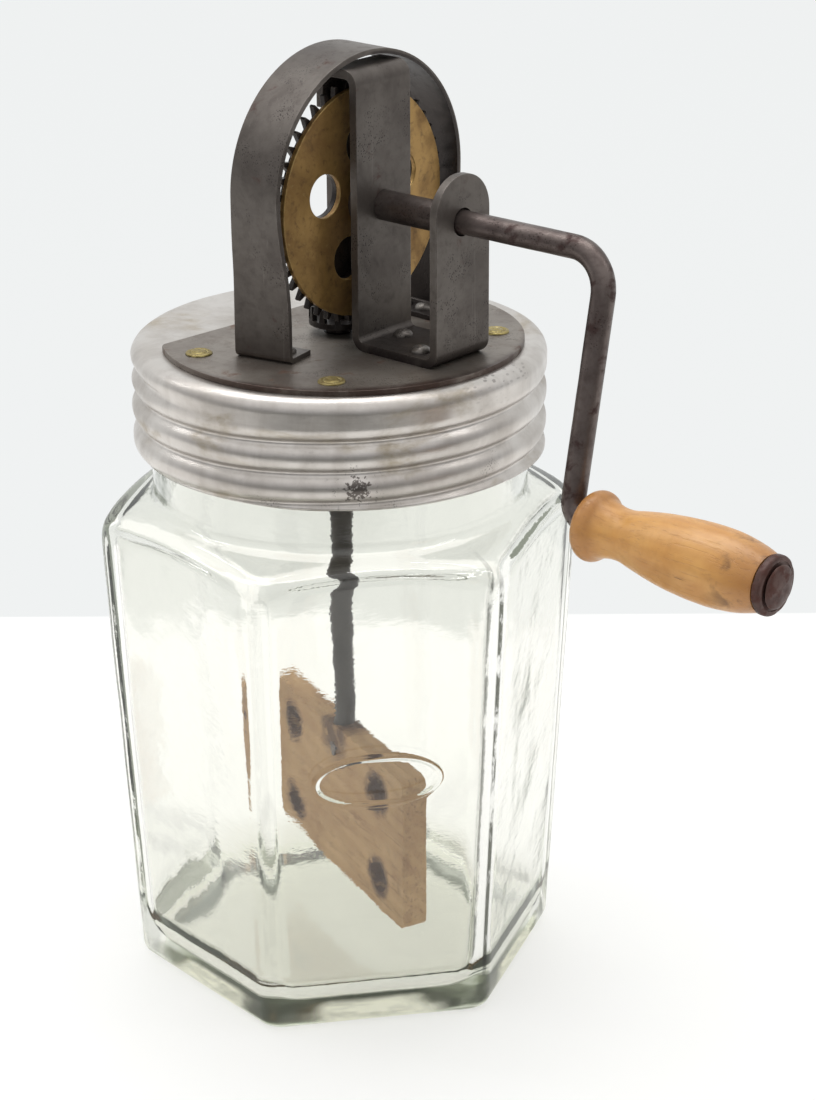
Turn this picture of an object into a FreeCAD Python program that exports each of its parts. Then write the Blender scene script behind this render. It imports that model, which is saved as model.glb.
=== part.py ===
"""Glass butter churn: a six-sided glass jar, a screw lid, and a hand-cranked geared dasher.

Millimetres. The origin is at the centre of the jar's underside, +Z is up, and +X runs along the
crank's axle, out towards the crank. Every driving dimension is a named cell of the sheet "Size",
and the sub-parts are bound to those cells.
"""
import FreeCAD, Part
import math
import os
import Sketcher
from FreeCAD import Vector

document = FreeCAD.newDocument("glass_butter_churn")

# Driving dimensions

SIZES = [
    # Jar
    ("jar_base_radius", 66.8, "centre to a corner of the jar, at its underside"),
    ("jar_taper", 3.2, "degrees that a corner leans outward, going up"),
    ("jar_turn", 51.5, "degrees from the crank's axle to the first corner"),
    ("jar_corner_round", 7.0, "radius of the upright corners outside"),
    ("jar_wall", 4.5, "thickness of the glass"),
    ("jar_floor", 9.0, "thickness of the glass underneath"),
    ("jar_heel_round", 4.0, "radius around the underside"),
    ("jar_inner_round", 9.0, "radius of the upright corners inside"),
    ("shoulder_radius", 74.9, "greatest radius of the shoulder's dome"),
    ("shoulder_height", 141.2, "where the shoulder starts to turn in"),
    ("shoulder_round", 9.5, "radius of the shoulder's turn"),
    ("shoulder_slope", 22.0, "degrees that the shoulder rises towards the neck"),
    ("neck_radius", 57.0, "outer radius of the neck"),
    ("neck_round", 3.0, "radius where the neck meets the shoulder"),
    ("neck_height", 59.1, "top of the sides to the glass rim"),
    ("rim_round", 1.6, "radius of the rim's edges"),
    ("bead_reach", 2.0, "how far a thread bead stands out from the neck"),
    ("bead_round", 2.4, "radius of a thread bead"),
    ("cartouche_width", 40.0, "width of the plain raised oval on the front face"),
    ("cartouche_height", 18.0, "height of that oval"),
    ("cartouche_band", 2.4, "width of its raised band"),
    ("cartouche_rise", 0.7, "how far the band stands out"),
    ("cartouche_level", 84.0, "height of its middle above the underside"),
    # Lid
    ("seal_thickness", 1.2, "thickness of the sealing ring"),
    ("seal_inner_radius", 53.6, "inner radius of the sealing ring"),
    ("seal_outer_radius", 57.4, "outer radius of the sealing ring"),
    ("cap_radius", 62.5, "radius of the screw cap over its rolled rings"),
    ("cap_sheet", 0.9, "thickness of the cap's sheet"),
    ("cap_ring_half", 2.9, "half the height of a rolled ring"),
    ("cap_notch_half", 1.6, "half the height of the hollow between two rings"),
    ("cap_wave", 40.0, "degrees that the sheet leans where a ring meets a hollow"),
    ("cap_rings", 4.0, "number of rolled rings"),
    ("cap_lip", 1.4, "what is left of the lowest ring below its middle"),
    ("plate_radius", 54.1, "radius of the D-shaped base plate"),
    ("plate_chord", 30.6, "centre of the plate to its straight side"),
    ("plate_thickness", 1.65, "thickness of the base plate"),
    ("plate_corner_round", 3.0, "radius of the plate's two corners"),
    ("plate_shift_x", 3.7, "the plate's centre off the lid's axis, along the axle"),
    ("plate_shift_y", -2.2, "the plate's centre off the lid's axis, across the axle"),
    ("plate_turn", -4.3, "degrees that the plate is turned from the axle"),
    ("plate_rivet_circle", 45.6, "plate's centre to its rivets"),
    ("plate_rivet_angle", 47.5, "degrees from the plate's middle to the outer rivets"),
    ("plate_rivet_spread", 63.0, "degrees from an outer rivet to the next"),
    ("plate_rivet_head", 4.0, "radius of a plate rivet's head"),
    ("plate_rivet_head_height", 0.9, "height of that head"),
    ("plate_rivet_shank", 1.6, "radius of a plate rivet's shank"),
    ("plate_rivet_edge", 0.4, "radius of that head's edge"),
    ("rivet_tail", 2.6, "radius of a rivet's closed end under the cap"),
    ("rivet_tail_height", 0.8, "height of that end"),
    # Arch guard over the wheel
    ("arch_room", 1.2, "gap between the wheel's teeth and the arch"),
    ("arch_rise", 5.7, "axle to the arch's centre"),
    ("arch_thickness", 1.6, "thickness of the arch's strip"),
    ("arch_width", 18.6, "width of the strip"),
    ("arch_middle", 4.65, "middle of the strip along the axle"),
    ("arch_turn", -1.55, "degrees that the arch is turned from the axle"),
    ("arch_draw", 2.4, "how far each leg is drawn in"),
    ("arch_draw_height", 36.0, "height over which the legs are drawn in"),
    ("arch_foot_end", 25.0, "middle of the arch to the inner end of a foot"),
    ("arch_foot_round", 2.2, "outer radius of the bend above a foot"),
    ("arch_rivet_along", 4.2, "half the distance between the two rivets of a foot"),
    ("arch_rivet_shift", 1.4, "middle of the strip to the middle of a foot's rivets"),
    # Bracket that carries the axle
    ("strip_thickness", 2.6, "thickness of the bracket's strip"),
    ("strip_width", 23.4, "width of the bracket's strip"),
    ("strip_bend", 4.5, "outer radius of the bracket's bends"),
    ("ear_face", 48.5, "outer face of the bracket's ear"),
    ("ear_rise", 13.8, "axle to the top of the ear"),
    ("leg_face", 18.6, "outer face of the front leg"),
    ("ear_round", 11.4, "radius of the ear's upper corners"),
    ("bracket_gap", 0.6, "gap between the bracket's top corners and the arch"),
    ("rear_face", 3.3, "back face of the rear leg"),
    ("rear_width", 16.0, "width of the rear leg"),
    ("rear_room", 3.9, "top of the dasher shaft to the lower end of the rear leg"),
    ("rear_shoulder", 12.0, "top of the bracket to where the rear leg narrows"),
    ("rear_end_round", 5.0, "radius of the rear leg's lower corners"),
    ("frame_rivet_head", 3.0, "radius of a steel rivet's dome"),
    ("frame_rivet_head_height", 2.0, "height of that dome"),
    ("frame_rivet_shank", 1.8, "radius of a steel rivet's shank"),
    ("bracket_rivet_near_x", 23.6, "first bracket rivet along the axle"),
    ("bracket_rivet_near_y", 2.2, "first bracket rivet across the axle"),
    ("bracket_rivet_far_x", 38.0, "second bracket rivet along the axle"),
    ("bracket_rivet_far_y", -6.4, "second bracket rivet across the axle"),
    ("sleeve_radius", 4.5, "outer radius of the axle's sleeve"),
    ("ear_play", 0.6, "gap all round between the rod and the hole in the ear"),
    # Crank
    ("rod_radius", 3.5, "radius of the crank's rod"),
    ("rod_proud", 0.9, "what the rod stands out behind the rear leg"),
    ("rod_clearance", 0.15, "gap all round between the rod and what it turns in"),
    ("crank_reach", 100.4, "plane of the crank's arm along the axle"),
    ("crank_arm", 73.9, "axle to the spindle, at the arm"),
    ("crank_rest", 11.65, "degrees that the arm leans from straight down, at rest"),
    ("upper_bend", 12.0, "radius of the bend between axle and arm"),
    ("lower_bend", 5.5, "radius of the bend between arm and spindle"),
    ("spindle_tilt", 2.0, "degrees that the spindle leans outward"),
    # Geared drive
    ("wheel_teeth", 46.0, "teeth of the wheel"),
    ("wheel_tip_radius", 36.2, "wheel's centre to the tips of its teeth"),
    ("wheel_tooth_height", 3.5, "height of a wheel tooth"),
    ("wheel_tooth_root", 3.5, "width of a wheel tooth at its root"),
    ("wheel_tooth_tip", 0.7, "width of a wheel tooth at its tip"),
    ("wheel_inset", 0.6, "pinion's outer edge to the middle of the wheel's thickness"),
    ("mesh_clearance", 0.5, "gap between a pinion tooth's tip and the bottom between wheel teeth"),
    ("wheel_thickness", 1.8, "thickness of the toothed wheel"),
    ("disc_radius", 34.1, "radius of the brass face disc"),
    ("disc_thickness", 1.6, "thickness of the brass face disc"),
    ("wheel_hole_circle", 17.2, "wheel's centre to its lightening holes"),
    ("wheel_hole_radius", 6.4, "radius of a lightening hole"),
    ("wheel_bore", 5.0, "radius of the wheel's seat on its hub"),
    ("hub_radius", 7.0, "radius of the hub in front of the wheel"),
    ("hub_collar_radius", 6.2, "radius of the hub's collar behind the wheel"),
    ("hub_clearance", 0.3, "gap between the hub and each leg"),
    ("pin_radius", 1.25, "radius of the hub's cross pin"),
    ("pin_proud", 0.5, "how far the pin stands out of the hub"),
    ("pinion_teeth", 11.0, "teeth of the crown pinion"),
    ("pinion_radius", 8.9, "outer radius of the pinion"),
    ("pinion_tooth_depth", 1.6, "radial depth of a pinion tooth"),
    ("pinion_tooth_root", 2.0, "width of a pinion tooth at its foot"),
    ("pinion_tooth_tip", 0.7, "width of a pinion tooth at its tip"),
    ("pinion_tooth_height", 4.1, "height of a pinion tooth"),
    ("pinion_flange", 1.7, "thickness of the pinion's flange"),
    ("pinion_hub_radius", 4.0, "radius of the pinion's hub"),
    ("pinion_hub_height", 2.3, "height of the hub under the flange"),
    ("pinion_clearance", 0.25, "gap between the pinion and the bush"),
    # Dasher
    ("shaft_radius", 3.2, "radius of the dasher shaft"),
    ("shaft_clearance", 0.1, "gap all round between the shaft and its bush"),
    ("shaft_proud", 5.4, "what the shaft stands out above the pinion's flange"),
    ("bush_radius", 4.6, "outer radius of the bush"),
    ("bush_flange_radius", 8.0, "radius of the bush's flange under the cap"),
    ("bush_flange", 1.6, "thickness of that flange"),
    ("collar_radius", 6.0, "radius of the collar that holds the shaft from rising"),
    ("collar_height", 4.0, "height of that collar"),
    ("collar_play", 0.3, "gap between the collar and the bush"),
    ("tang_radius", 2.2, "radius of the shaft's lower end inside the paddle"),
    ("tang_length", 24.0, "how deep that end goes into the paddle"),
    ("paddle_width", 94.0, "width of the paddle"),
    ("paddle_height", 50.0, "height of the paddle"),
    ("paddle_thickness", 8.0, "thickness of the paddle"),
    ("paddle_bottom", 25.5, "height of the paddle's lower edge"),
    ("paddle_corner_round", 2.5, "radius of the paddle's corners"),
    ("paddle_turn", -21.5, "degrees from the axle to the paddle, at rest"),
    ("paddle_hole_radius", 5.0, "radius of the paddle's holes"),
    ("paddle_hole_across", 30.0, "shaft to the paddle's holes"),
    ("paddle_hole_rise", 14.5, "paddle's middle to its holes, up and down"),
    ("paddle_pin_radius", 0.9, "radius of the nail through paddle and shaft"),
    ("paddle_pin_head", 2.0, "radius of that nail's flat ends"),
    ("paddle_pin_head_height", 0.5, "thickness of those ends"),
    ("paddle_pin_drop", 8.0, "paddle's upper edge to that nail"),
    # Grip
    ("grip_gap", 0.6, "gap between the rod's lower bend and the grip"),
    ("grip_length", 60.5, "length of the wooden grip"),
    ("grip_end_radius", 8.2, "radius at both ends of the barrel"),
    ("grip_collar_length", 6.2, "length of the grip's rounded collar"),
    ("grip_collar_foot", 8.8, "radius where the collar meets the neck"),
    ("grip_collar_round", 3.6, "radius of the collar's rounding"),
    ("grip_neck_length", 17.0, "grip's inner end to where its neck meets the barrel"),
    ("grip_neck_round", 15.1, "radius of the hollow neck"),
    ("grip_belly_place", 43.0, "where the barrel is widest"),
    ("grip_belly_radius", 11.25, "greatest radius of the barrel"),
    ("grip_clearance", 0.25, "gap all round between the spindle and the grip"),
    ("ferrule_radius", 8.5, "radius of the grip's end cap"),
    ("ferrule_thickness", 2.8, "thickness of the end cap"),
    ("ferrule_round", 0.9, "radius of the end cap's edges"),
    ("tenon_radius", 2.6, "radius of the spindle's end through the end cap"),
    ("tenon_clearance", 0.3, "gap all round between that end and the end cap"),
    ("end_play", 0.3, "gap at both faces of the end cap"),
    ("spindle_head_radius", 6.2, "radius of the closed end of the spindle"),
    ("spindle_head_height", 1.6, "height of that closed end"),
]

# Lightening holes of the wheel, in degrees from straight across, as they stand in the photograph.
WHEEL_HOLE_ANGLES = (17.0, 93.0, 165.0, 247.0, 309.0)

JAR_SIDES = 6

sheet = document.addObject("Spreadsheet::Sheet", "Size")
for row, (alias, size, note) in enumerate(SIZES, start=1):
    sheet.set(f"A{row}", alias)
    sheet.set(f"B{row}", str(size))
    sheet.set(f"C{row}", note)
    sheet.setAlias(f"B{row}", alias)
document.recompute()


def value(expression):
    """Return what an expression over the sheet is worth."""
    return float(sheet.evalExpression(expression))


# Levels and places that follow from the sheet, as expressions

MOUTH = "(Size.shoulder_height + Size.neck_height)"
CAP_UNDERSIDE = f"({MOUTH} + Size.seal_thickness)"
CAP_TOP = f"({CAP_UNDERSIDE} + Size.cap_sheet)"
PLATE_TOP = f"({CAP_TOP} + Size.plate_thickness)"
STRIP_TOP = f"({PLATE_TOP} + Size.strip_thickness)"
LEG_BACK = "(Size.leg_face - Size.strip_thickness)"
REAR_FRONT = "(Size.rear_face + Size.strip_thickness)"
ARCH_INSIDE = "(Size.wheel_tip_radius + Size.arch_room)"
ARCH_RADIUS = f"({ARCH_INSIDE} + Size.arch_thickness)"
ARCH_FOOT = f"({ARCH_RADIUS} - Size.arch_draw)"
# The rivets of a foot stand in the middle of its flat part.
ARCH_RIVET_ACROSS = f"(({ARCH_FOOT} - Size.arch_foot_round + Size.arch_foot_end) / 2)"
EAR_BACK = "(Size.ear_face - Size.strip_thickness)"
INNER_BEND = "(Size.strip_bend - Size.strip_thickness)"
ROD_HOLE = "(Size.rod_radius + Size.rod_clearance)"
PINION_BOTTOM = f"({PLATE_TOP} + Size.pinion_clearance)"
FLANGE_BOTTOM = f"({PINION_BOTTOM} + Size.pinion_hub_height)"
FLANGE_TOP = f"({FLANGE_BOTTOM} + Size.pinion_flange)"
BUSH_BOTTOM = f"({CAP_UNDERSIDE} - Size.bush_flange)"
COLLAR_TOP = f"({BUSH_BOTTOM} - Size.collar_play)"
SHAFT_TOP = f"({FLANGE_TOP} + Size.shaft_proud)"
CROWN_TOP = f"({FLANGE_TOP} + Size.pinion_tooth_height)"
WHEEL_ROOT = "(Size.wheel_tip_radius - Size.wheel_tooth_height)"
AXLE = f"({CROWN_TOP} + Size.mesh_clearance + {WHEEL_ROOT})"
WHEEL_BACK = "(Size.pinion_radius - Size.wheel_inset - Size.wheel_thickness / 2)"
WHEEL_FRONT = f"({WHEEL_BACK} + Size.wheel_thickness)"
DISC_FRONT = f"({WHEEL_FRONT} + Size.disc_thickness)"
ROD_START = "(Size.rear_face - Size.rod_proud)"
ARCH_LEVEL = f"({AXLE} + Size.arch_rise)"
BRACKET_TOP = (
    f"({ARCH_LEVEL} - Size.bracket_gap + sqrt({ARCH_INSIDE} * {ARCH_INSIDE}"
    " - Size.strip_width * Size.strip_width / 4))"
)
BUSH_BORE = "(Size.shaft_radius + Size.shaft_clearance)"
PADDLE_TOP = "(Size.paddle_bottom + Size.paddle_height)"
TANG_BOTTOM = f"({PADDLE_TOP} - Size.tang_length)"
# Where the grip starts, along the spindle from the arm's line
SPINDLE_BEND = "(Size.lower_bend * tan((90 - Size.spindle_tilt) / 2))"
GRIP_START = f"({SPINDLE_BEND} + Size.grip_gap)"


def frame(across, along, up, axis="0; 0; 1", turn="0"):
    """Return a placement expression: a place, and a turn in degrees about an axis."""
    return f"placement(vector({across}; {along}; {up}); rotation(vector({axis}); {turn}))"


PART_FRAME = frame("0", "0", "0")
PLATE_FRAME = frame("Size.plate_shift_x", "Size.plate_shift_y", "0", turn="Size.plate_turn")
ARCH_FRAME = frame("Size.arch_middle", "0", "0", turn="Size.arch_turn")
CRANK_FRAME = frame("0", "0", AXLE, "1; 0; 0", "-Size.crank_rest")
SPINDLE_FRAME = (
    CRANK_FRAME
    + " * " + frame("Size.crank_reach", "0", "-Size.crank_arm", "0; 1; 0", "Size.spindle_tilt")
    + " * " + frame(GRIP_START, "0", "0")
)
PADDLE_FRAME = frame("0", "0", "0", turn="Size.paddle_turn")
# Half a tooth's turn puts a gap of the pinion where the wheel's lowest tooth stands.
PINION_FRAME = frame("0", "0", "0", turn="180 / Size.pinion_teeth")


# Drawing helpers

def new_body(label, place=PART_FRAME):
    """Start a sub-part whose placement is bound to the sheet."""
    body = document.addObject("PartDesign::Body", label)
    body.Label = label
    body.setExpression("Placement", place)
    return body


def new_sketch(body, name, role, offset="0"):
    """Attach a sketch to one of the body's own origin planes, moved along its normal."""
    sketch = body.newObject("Sketcher::SketchObject", f"{body.Label}_{name}")
    plane = [item for item in body.Origin.OriginFeatures if item.Role == role][0]
    sketch.AttachmentSupport = [(plane, "")]
    sketch.MapMode = "FlatFace"
    sketch.setExpression("AttachmentOffset.Base.z", offset)
    return sketch


def bind(sketch, kind, geometry, point, expression):
    """Set one distance of a sketch's point from the origin, bound to the sheet."""
    constraint = Sketcher.Constraint(kind, geometry, point, value(expression))
    index = sketch.addConstraint(constraint)
    sketch.setExpression(f"Constraints[{index}]", expression)


def arc_between(start, end, radius, turn):
    """Return the shorter arc from start to end that turns left (+1) or right (-1)."""
    chord = end - start
    half = chord.Length / 2
    rise = math.sqrt(max(radius * radius - half * half, 0.0))
    left = Vector(-chord.y, chord.x, 0).normalize()
    centre = (start + end) / 2 + left * (rise * turn)
    first, last = (start, end) if turn > 0 else (end, start)
    angles = [math.atan2(point.y - centre.y, point.x - centre.x) for point in (first, last)]
    if angles[1] < angles[0]:
        angles[1] += 2 * math.pi
    return Part.ArcOfCircle(Part.Circle(centre, Vector(0, 0, 1), radius), angles[0], angles[1])


def draw(sketch, corners, closed=True):
    """Draw an outline through corners given as expressions.

    A corner is (x, y), or (x, y, radius, turn) where an arc of that radius leads to it, turning
    left (+1) or right (-1).
    """
    points = [Vector(value(corner[0]), value(corner[1]), 0) for corner in corners]
    first = 0 if closed else 1
    ends = []
    for index in range(first, len(corners)):
        corner = corners[index]
        start, end = points[index - 1], points[index]
        if len(corner) == 2:
            edge = sketch.addGeometry(Part.LineSegment(start, end), False)
            ends.append((edge, 1, 2))
        else:
            radius, turn = corner[2], corner[3]
            edge = sketch.addGeometry(arc_between(start, end, value(radius), turn), False)
            ends.append((edge, 1, 2) if turn > 0 else (edge, 2, 1))
            index_of = sketch.addConstraint(Sketcher.Constraint("Radius", edge, value(radius)))
            sketch.setExpression(f"Constraints[{index_of}]", radius)
        bind(sketch, "DistanceX", edge, ends[-1][2], corner[0])
        bind(sketch, "DistanceY", edge, ends[-1][2], corner[1])
    for (before, _, finish), (after, begin, _) in zip(ends, ends[1:]):
        sketch.addConstraint(Sketcher.Constraint("Coincident", before, finish, after, begin))
    if closed:
        last, head = ends[-1], ends[0]
        sketch.addConstraint(Sketcher.Constraint("Coincident", last[0], last[2], head[0], head[1]))
    else:
        bind(sketch, "DistanceX", ends[0][0], ends[0][1], corners[0][0])
        bind(sketch, "DistanceY", ends[0][0], ends[0][1], corners[0][1])


def circle(sketch, across, up, radius):
    """Draw a circle whose centre and radius are expressions."""
    centre = Vector(value(across), value(up), 0)
    edge = sketch.addGeometry(Part.Circle(centre, Vector(0, 0, 1), value(radius)), False)
    index = sketch.addConstraint(Sketcher.Constraint("Radius", edge, value(radius)))
    sketch.setExpression(f"Constraints[{index}]", radius)
    bind(sketch, "DistanceX", edge, 3, across)
    bind(sketch, "DistanceY", edge, 3, up)


def pad(body, sketch, length, both_ways=False):
    """Extrude a sketch along its normal, or half to each side."""
    feature = body.newObject("PartDesign::Pad", f"{sketch.Name}_pad")
    feature.Profile = sketch
    feature.setExpression("Length", length)
    feature.Midplane = both_ways
    document.recompute()
    return feature


def revolve(body, sketch, axis="V_Axis"):
    """Turn a sketch right round one of its own axes."""
    feature = body.newObject("PartDesign::Revolution", f"{sketch.Name}_revolution")
    feature.Profile = sketch
    feature.ReferenceAxis = (sketch, [axis])
    feature.Angle = 360
    document.recompute()
    return feature


def cut(body, sketch, length=None):
    """Cut a sketch right through the body, or by a length against its normal."""
    before = body.Shape.Volume
    feature = body.newObject("PartDesign::Pocket", f"{sketch.Name}_pocket")
    feature.Profile = sketch
    if length is None:
        feature.Type = "ThroughAll"
        feature.Midplane = True
    else:
        feature.setExpression("Length", length)
    document.recompute()
    if body.Shape.Volume > before - 1e-6:
        raise RuntimeError(f"{feature.Name} cuts nothing")
    return feature


def repeat_round(body, feature, sketch, axis, count):
    """Repeat a feature evenly round an axis of its sketch."""
    pattern = body.newObject("PartDesign::PolarPattern", f"{feature.Name}_pattern")
    pattern.Originals = [feature]
    pattern.Axis = (sketch, [axis])
    pattern.Angle = 360
    pattern.setExpression("Occurrences", count)
    body.Tip = pattern
    document.recompute()
    return pattern


def round_edges(body, name, radius, wanted):
    """Fillet the edges of the body's last feature whose middle point is wanted."""
    last = body.Tip
    names = []
    for number, edge in enumerate(last.Shape.Edges, start=1):
        middle = edge.valueAt((edge.FirstParameter + edge.LastParameter) / 2)
        if wanted(middle, edge):
            names.append(f"Edge{number}")
    if not names:
        raise RuntimeError(f"{body.Label}: no edge to round for {name}")
    feature = body.newObject("PartDesign::Fillet", f"{body.Label}_{name}")
    feature.Base = (last, names)
    feature.setExpression("Radius", radius)
    document.recompute()
    return feature


def near(first, second, within=0.01):
    """Tell whether two lengths are the same within a small tolerance."""
    return abs(first - second) < within


def new_shape(label, shape):
    """Hold a shape that neither sketches nor primitives describe well."""
    feature = document.addObject("Part::Feature", label)
    feature.Label = label
    feature.Shape = shape
    return feature


def polyline_face(points, plane_normal):
    """Return the face inside straight runs and three-point arcs.

    An item is a Vector, reached by a straight run, or a pair (middle, end) of an arc.
    """
    edges = []
    current = points[0]
    for item in points[1:] + [points[0]]:
        if isinstance(item, tuple):
            edges.append(Part.Arc(current, item[0], item[1]).toShape())
            current = item[1]
        elif current.distanceToPoint(item) > 1e-7:
            edges.append(Part.LineSegment(current, item).toShape())
            current = item
    face = Part.Face(Part.Wire(edges))
    if face.normalAt(0, 0).dot(plane_normal) < 0:
        face.reverse()
    return face


# Where the rivets stand, in the part's own frame

def turned_place(middle, turn, along, across):
    """Return a place given along and across a turned piece, from its middle."""
    return (
        f"({middle[0]} + {along} * cos({turn}) - {across} * sin({turn}))",
        f"({middle[1]} + {along} * sin({turn}) + {across} * cos({turn}))",
    )


def plate_rivet_angles():
    """Return the four angles of the plate's rivets, from its middle line."""
    outer = "Size.plate_rivet_angle"
    last = f"({outer} + Size.plate_rivet_spread)"
    return [f"(-{last})", f"(-{outer})", outer, last]


PLATE_MIDDLE = ("Size.plate_shift_x", "Size.plate_shift_y")
PLATE_RIVETS = [
    turned_place(
        PLATE_MIDDLE, "Size.plate_turn", f"Size.plate_rivet_circle * cos({angle})",
        f"Size.plate_rivet_circle * sin({angle})",
    )
    for angle in plate_rivet_angles()
]
ARCH_RIVETS = [
    turned_place(
        ("Size.arch_middle", "0"), "Size.arch_turn",
        f"({sign}Size.arch_rivet_along - Size.arch_rivet_shift)", f"({side}{ARCH_RIVET_ACROSS})",
    )
    for side in ("-", "") for sign in ("-", "")
]
BRACKET_RIVETS = [
    ("Size.bracket_rivet_near_x", "Size.bracket_rivet_near_y"),
    ("Size.bracket_rivet_far_x", "Size.bracket_rivet_far_y"),
]


def seen_from(middle, turn, place):
    """Return a place as a sketch of a turned piece sees it, from that piece's middle."""
    across, up = f"({place[0]} - {middle[0]})", f"({place[1]} - {middle[1]})"
    return (
        f"({across} * cos({turn}) + {up} * sin({turn}))",
        f"({up} * cos({turn}) - {across} * sin({turn}))",
    )


# Glass jar

def rounded_hexagon(corner_radius, rounding, level):
    """Return the jar's rounded six-sided outline at one level."""
    half_turn = math.pi / JAR_SIDES
    start = math.radians(value("Size.jar_turn"))
    # The rounding's centre lies inside the corner, where both sides are one radius away.
    centre_radius = corner_radius - rounding / math.cos(half_turn)
    edges = []
    ends = []
    for side in range(JAR_SIDES):
        angle = start + 2 * half_turn * side
        centre = Vector(math.cos(angle), math.sin(angle), 0) * centre_radius
        arc = [
            centre + Vector(math.cos(angle + step), math.sin(angle + step), 0) * rounding
            + Vector(0, 0, level)
            for step in (-half_turn, 0, half_turn)
        ]
        ends.append((arc[0], arc[2]))
        edges.append(Part.Arc(*arc).toShape())
    for side in range(JAR_SIDES):
        following = ends[(side + 1) % JAR_SIDES][0]
        edges.insert(2 * side + 1, Part.LineSegment(ends[side][1], following).toShape())
    return Part.Wire(edges)


def dome(radius_cut, bottom, rounding, slope_drop, bore, top):
    """Return the turned envelope that closes the jar's sides in to its neck."""
    slope = math.radians(value("Size.shoulder_slope"))
    centre_radius = value("Size.shoulder_radius - Size.shoulder_round")
    level = value("Size.shoulder_height")
    steep = math.pi / 2 - slope
    turn_end = Vector(
        centre_radius + rounding * math.cos(steep), 0, level + rounding * math.sin(steep)
    )
    turn_middle = Vector(
        centre_radius + rounding * math.cos(steep / 2), 0, level + rounding * math.sin(steep / 2)
    )
    meet = turn_end.z + (turn_end.x - bore) * math.tan(slope)
    # The neck's rounding touches the slope and the upright neck.
    reach = slope_drop * math.tan(steep / 2)
    on_slope = Vector(bore + reach * math.cos(slope), 0, meet - reach * math.sin(slope))
    on_neck = Vector(bore, 0, meet + reach)
    centre = Vector(bore + slope_drop, 0, meet + reach)
    middle_angle = math.pi + steep / 2
    on_middle = centre + Vector(math.cos(middle_angle), 0, math.sin(middle_angle)) * slope_drop
    points = [
        Vector(0, 0, bottom),
        Vector(radius_cut, 0, bottom),
        Vector(radius_cut, 0, level),
        (turn_middle, turn_end),
        on_slope,
        (on_middle, on_neck),
        Vector(bore, 0, top),
        Vector(0, 0, top),
    ]
    face = polyline_face(points, Vector(0, -1, 0))
    return face.revolve(Vector(0, 0, 0), Vector(0, 0, 1), 360)


def jar_shape():
    """Return the glass: six tapered sides, domed shoulder, neck, beads and a plain oval."""
    lean = math.tan(math.radians(value("Size.jar_taper")))
    wall = value("Size.jar_wall")
    floor = value("Size.jar_floor")
    base = value("Size.jar_base_radius")
    sides_top = value("Size.shoulder_height + Size.shoulder_round * 2")
    rounding = value("Size.jar_corner_round")
    neck = value("Size.neck_radius")
    mouth = value(MOUTH)
    shoulder = value("Size.shoulder_radius")
    corner_wall = wall / math.cos(math.pi / JAR_SIDES)

    outside = Part.makeLoft(
        [rounded_hexagon(base, rounding, 0),
         rounded_hexagon(base + lean * sides_top, rounding, sides_top)],
        True, True,
    )
    heel = [edge for edge in outside.Edges if edge.BoundBox.ZMax < 0.01]
    outside = outside.makeFillet(value("Size.jar_heel_round"), heel)
    neck_round = value("Size.neck_round")
    envelope = dome(shoulder, 0, value("Size.shoulder_round"), neck_round, neck, sides_top)
    outside = outside.common(envelope)
    neck_base = value("Size.shoulder_height")
    outside = outside.fuse(Part.makeCylinder(neck, mouth - neck_base, Vector(0, 0, neck_base)))

    inner_round = value("Size.jar_inner_round")
    inside = Part.makeLoft(
        [rounded_hexagon(base - corner_wall + lean * floor, inner_round, floor),
         rounded_hexagon(base - corner_wall + lean * sides_top, inner_round, sides_top)],
        True, True,
    )
    inner_heel = [edge for edge in inside.Edges if edge.BoundBox.ZMax < floor + 0.01]
    inside = inside.makeFillet(value("Size.jar_heel_round"), inner_heel)
    bore = neck - wall
    inner_dome = dome(
        shoulder - wall, floor, value("Size.shoulder_round") - wall, neck_round + wall, bore, mouth
    )
    inside = inside.common(inner_dome)
    inside = inside.fuse(Part.makeCylinder(bore, mouth, Vector(0, 0, neck_base)))

    beads = [bead_ring(level) for level in bead_levels()]
    glass = outside.fuse(beads + [cartouche()]).cut(inside).removeSplitter()
    rim = [
        edge for edge in glass.Edges
        if near(edge.BoundBox.ZMin, mouth) and near(edge.BoundBox.ZMax, mouth)
    ]
    return glass.makeFillet(value("Size.rim_round"), rim)


def ring_middles():
    """Return the heights of the middles of the cap's rolled rings, from the top one down."""
    ring_radius = value("Size.cap_ring_half") / math.sin(math.radians(value("Size.cap_wave")))
    top = value(CAP_TOP) - ring_radius
    pitch = value("2 * (Size.cap_ring_half + Size.cap_notch_half)")
    return [top - pitch * ring for ring in range(int(value("Size.cap_rings")))]


def bead_levels():
    """Return the levels of the thread beads, inside the cap's two middle rings."""
    return ring_middles()[1:-1]


def bead_ring(level):
    """Return one thread bead around the neck."""
    neck = value("Size.neck_radius")
    radius = value("Size.bead_round")
    centre = neck + value("Size.bead_reach") - radius
    profile = Part.Face(Part.Wire(Part.makeCircle(radius, Vector(centre, 0, level), Vector(0, 1, 0))))
    return profile.revolve(Vector(0, 0, 0), Vector(0, 0, 1), 360)


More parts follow.
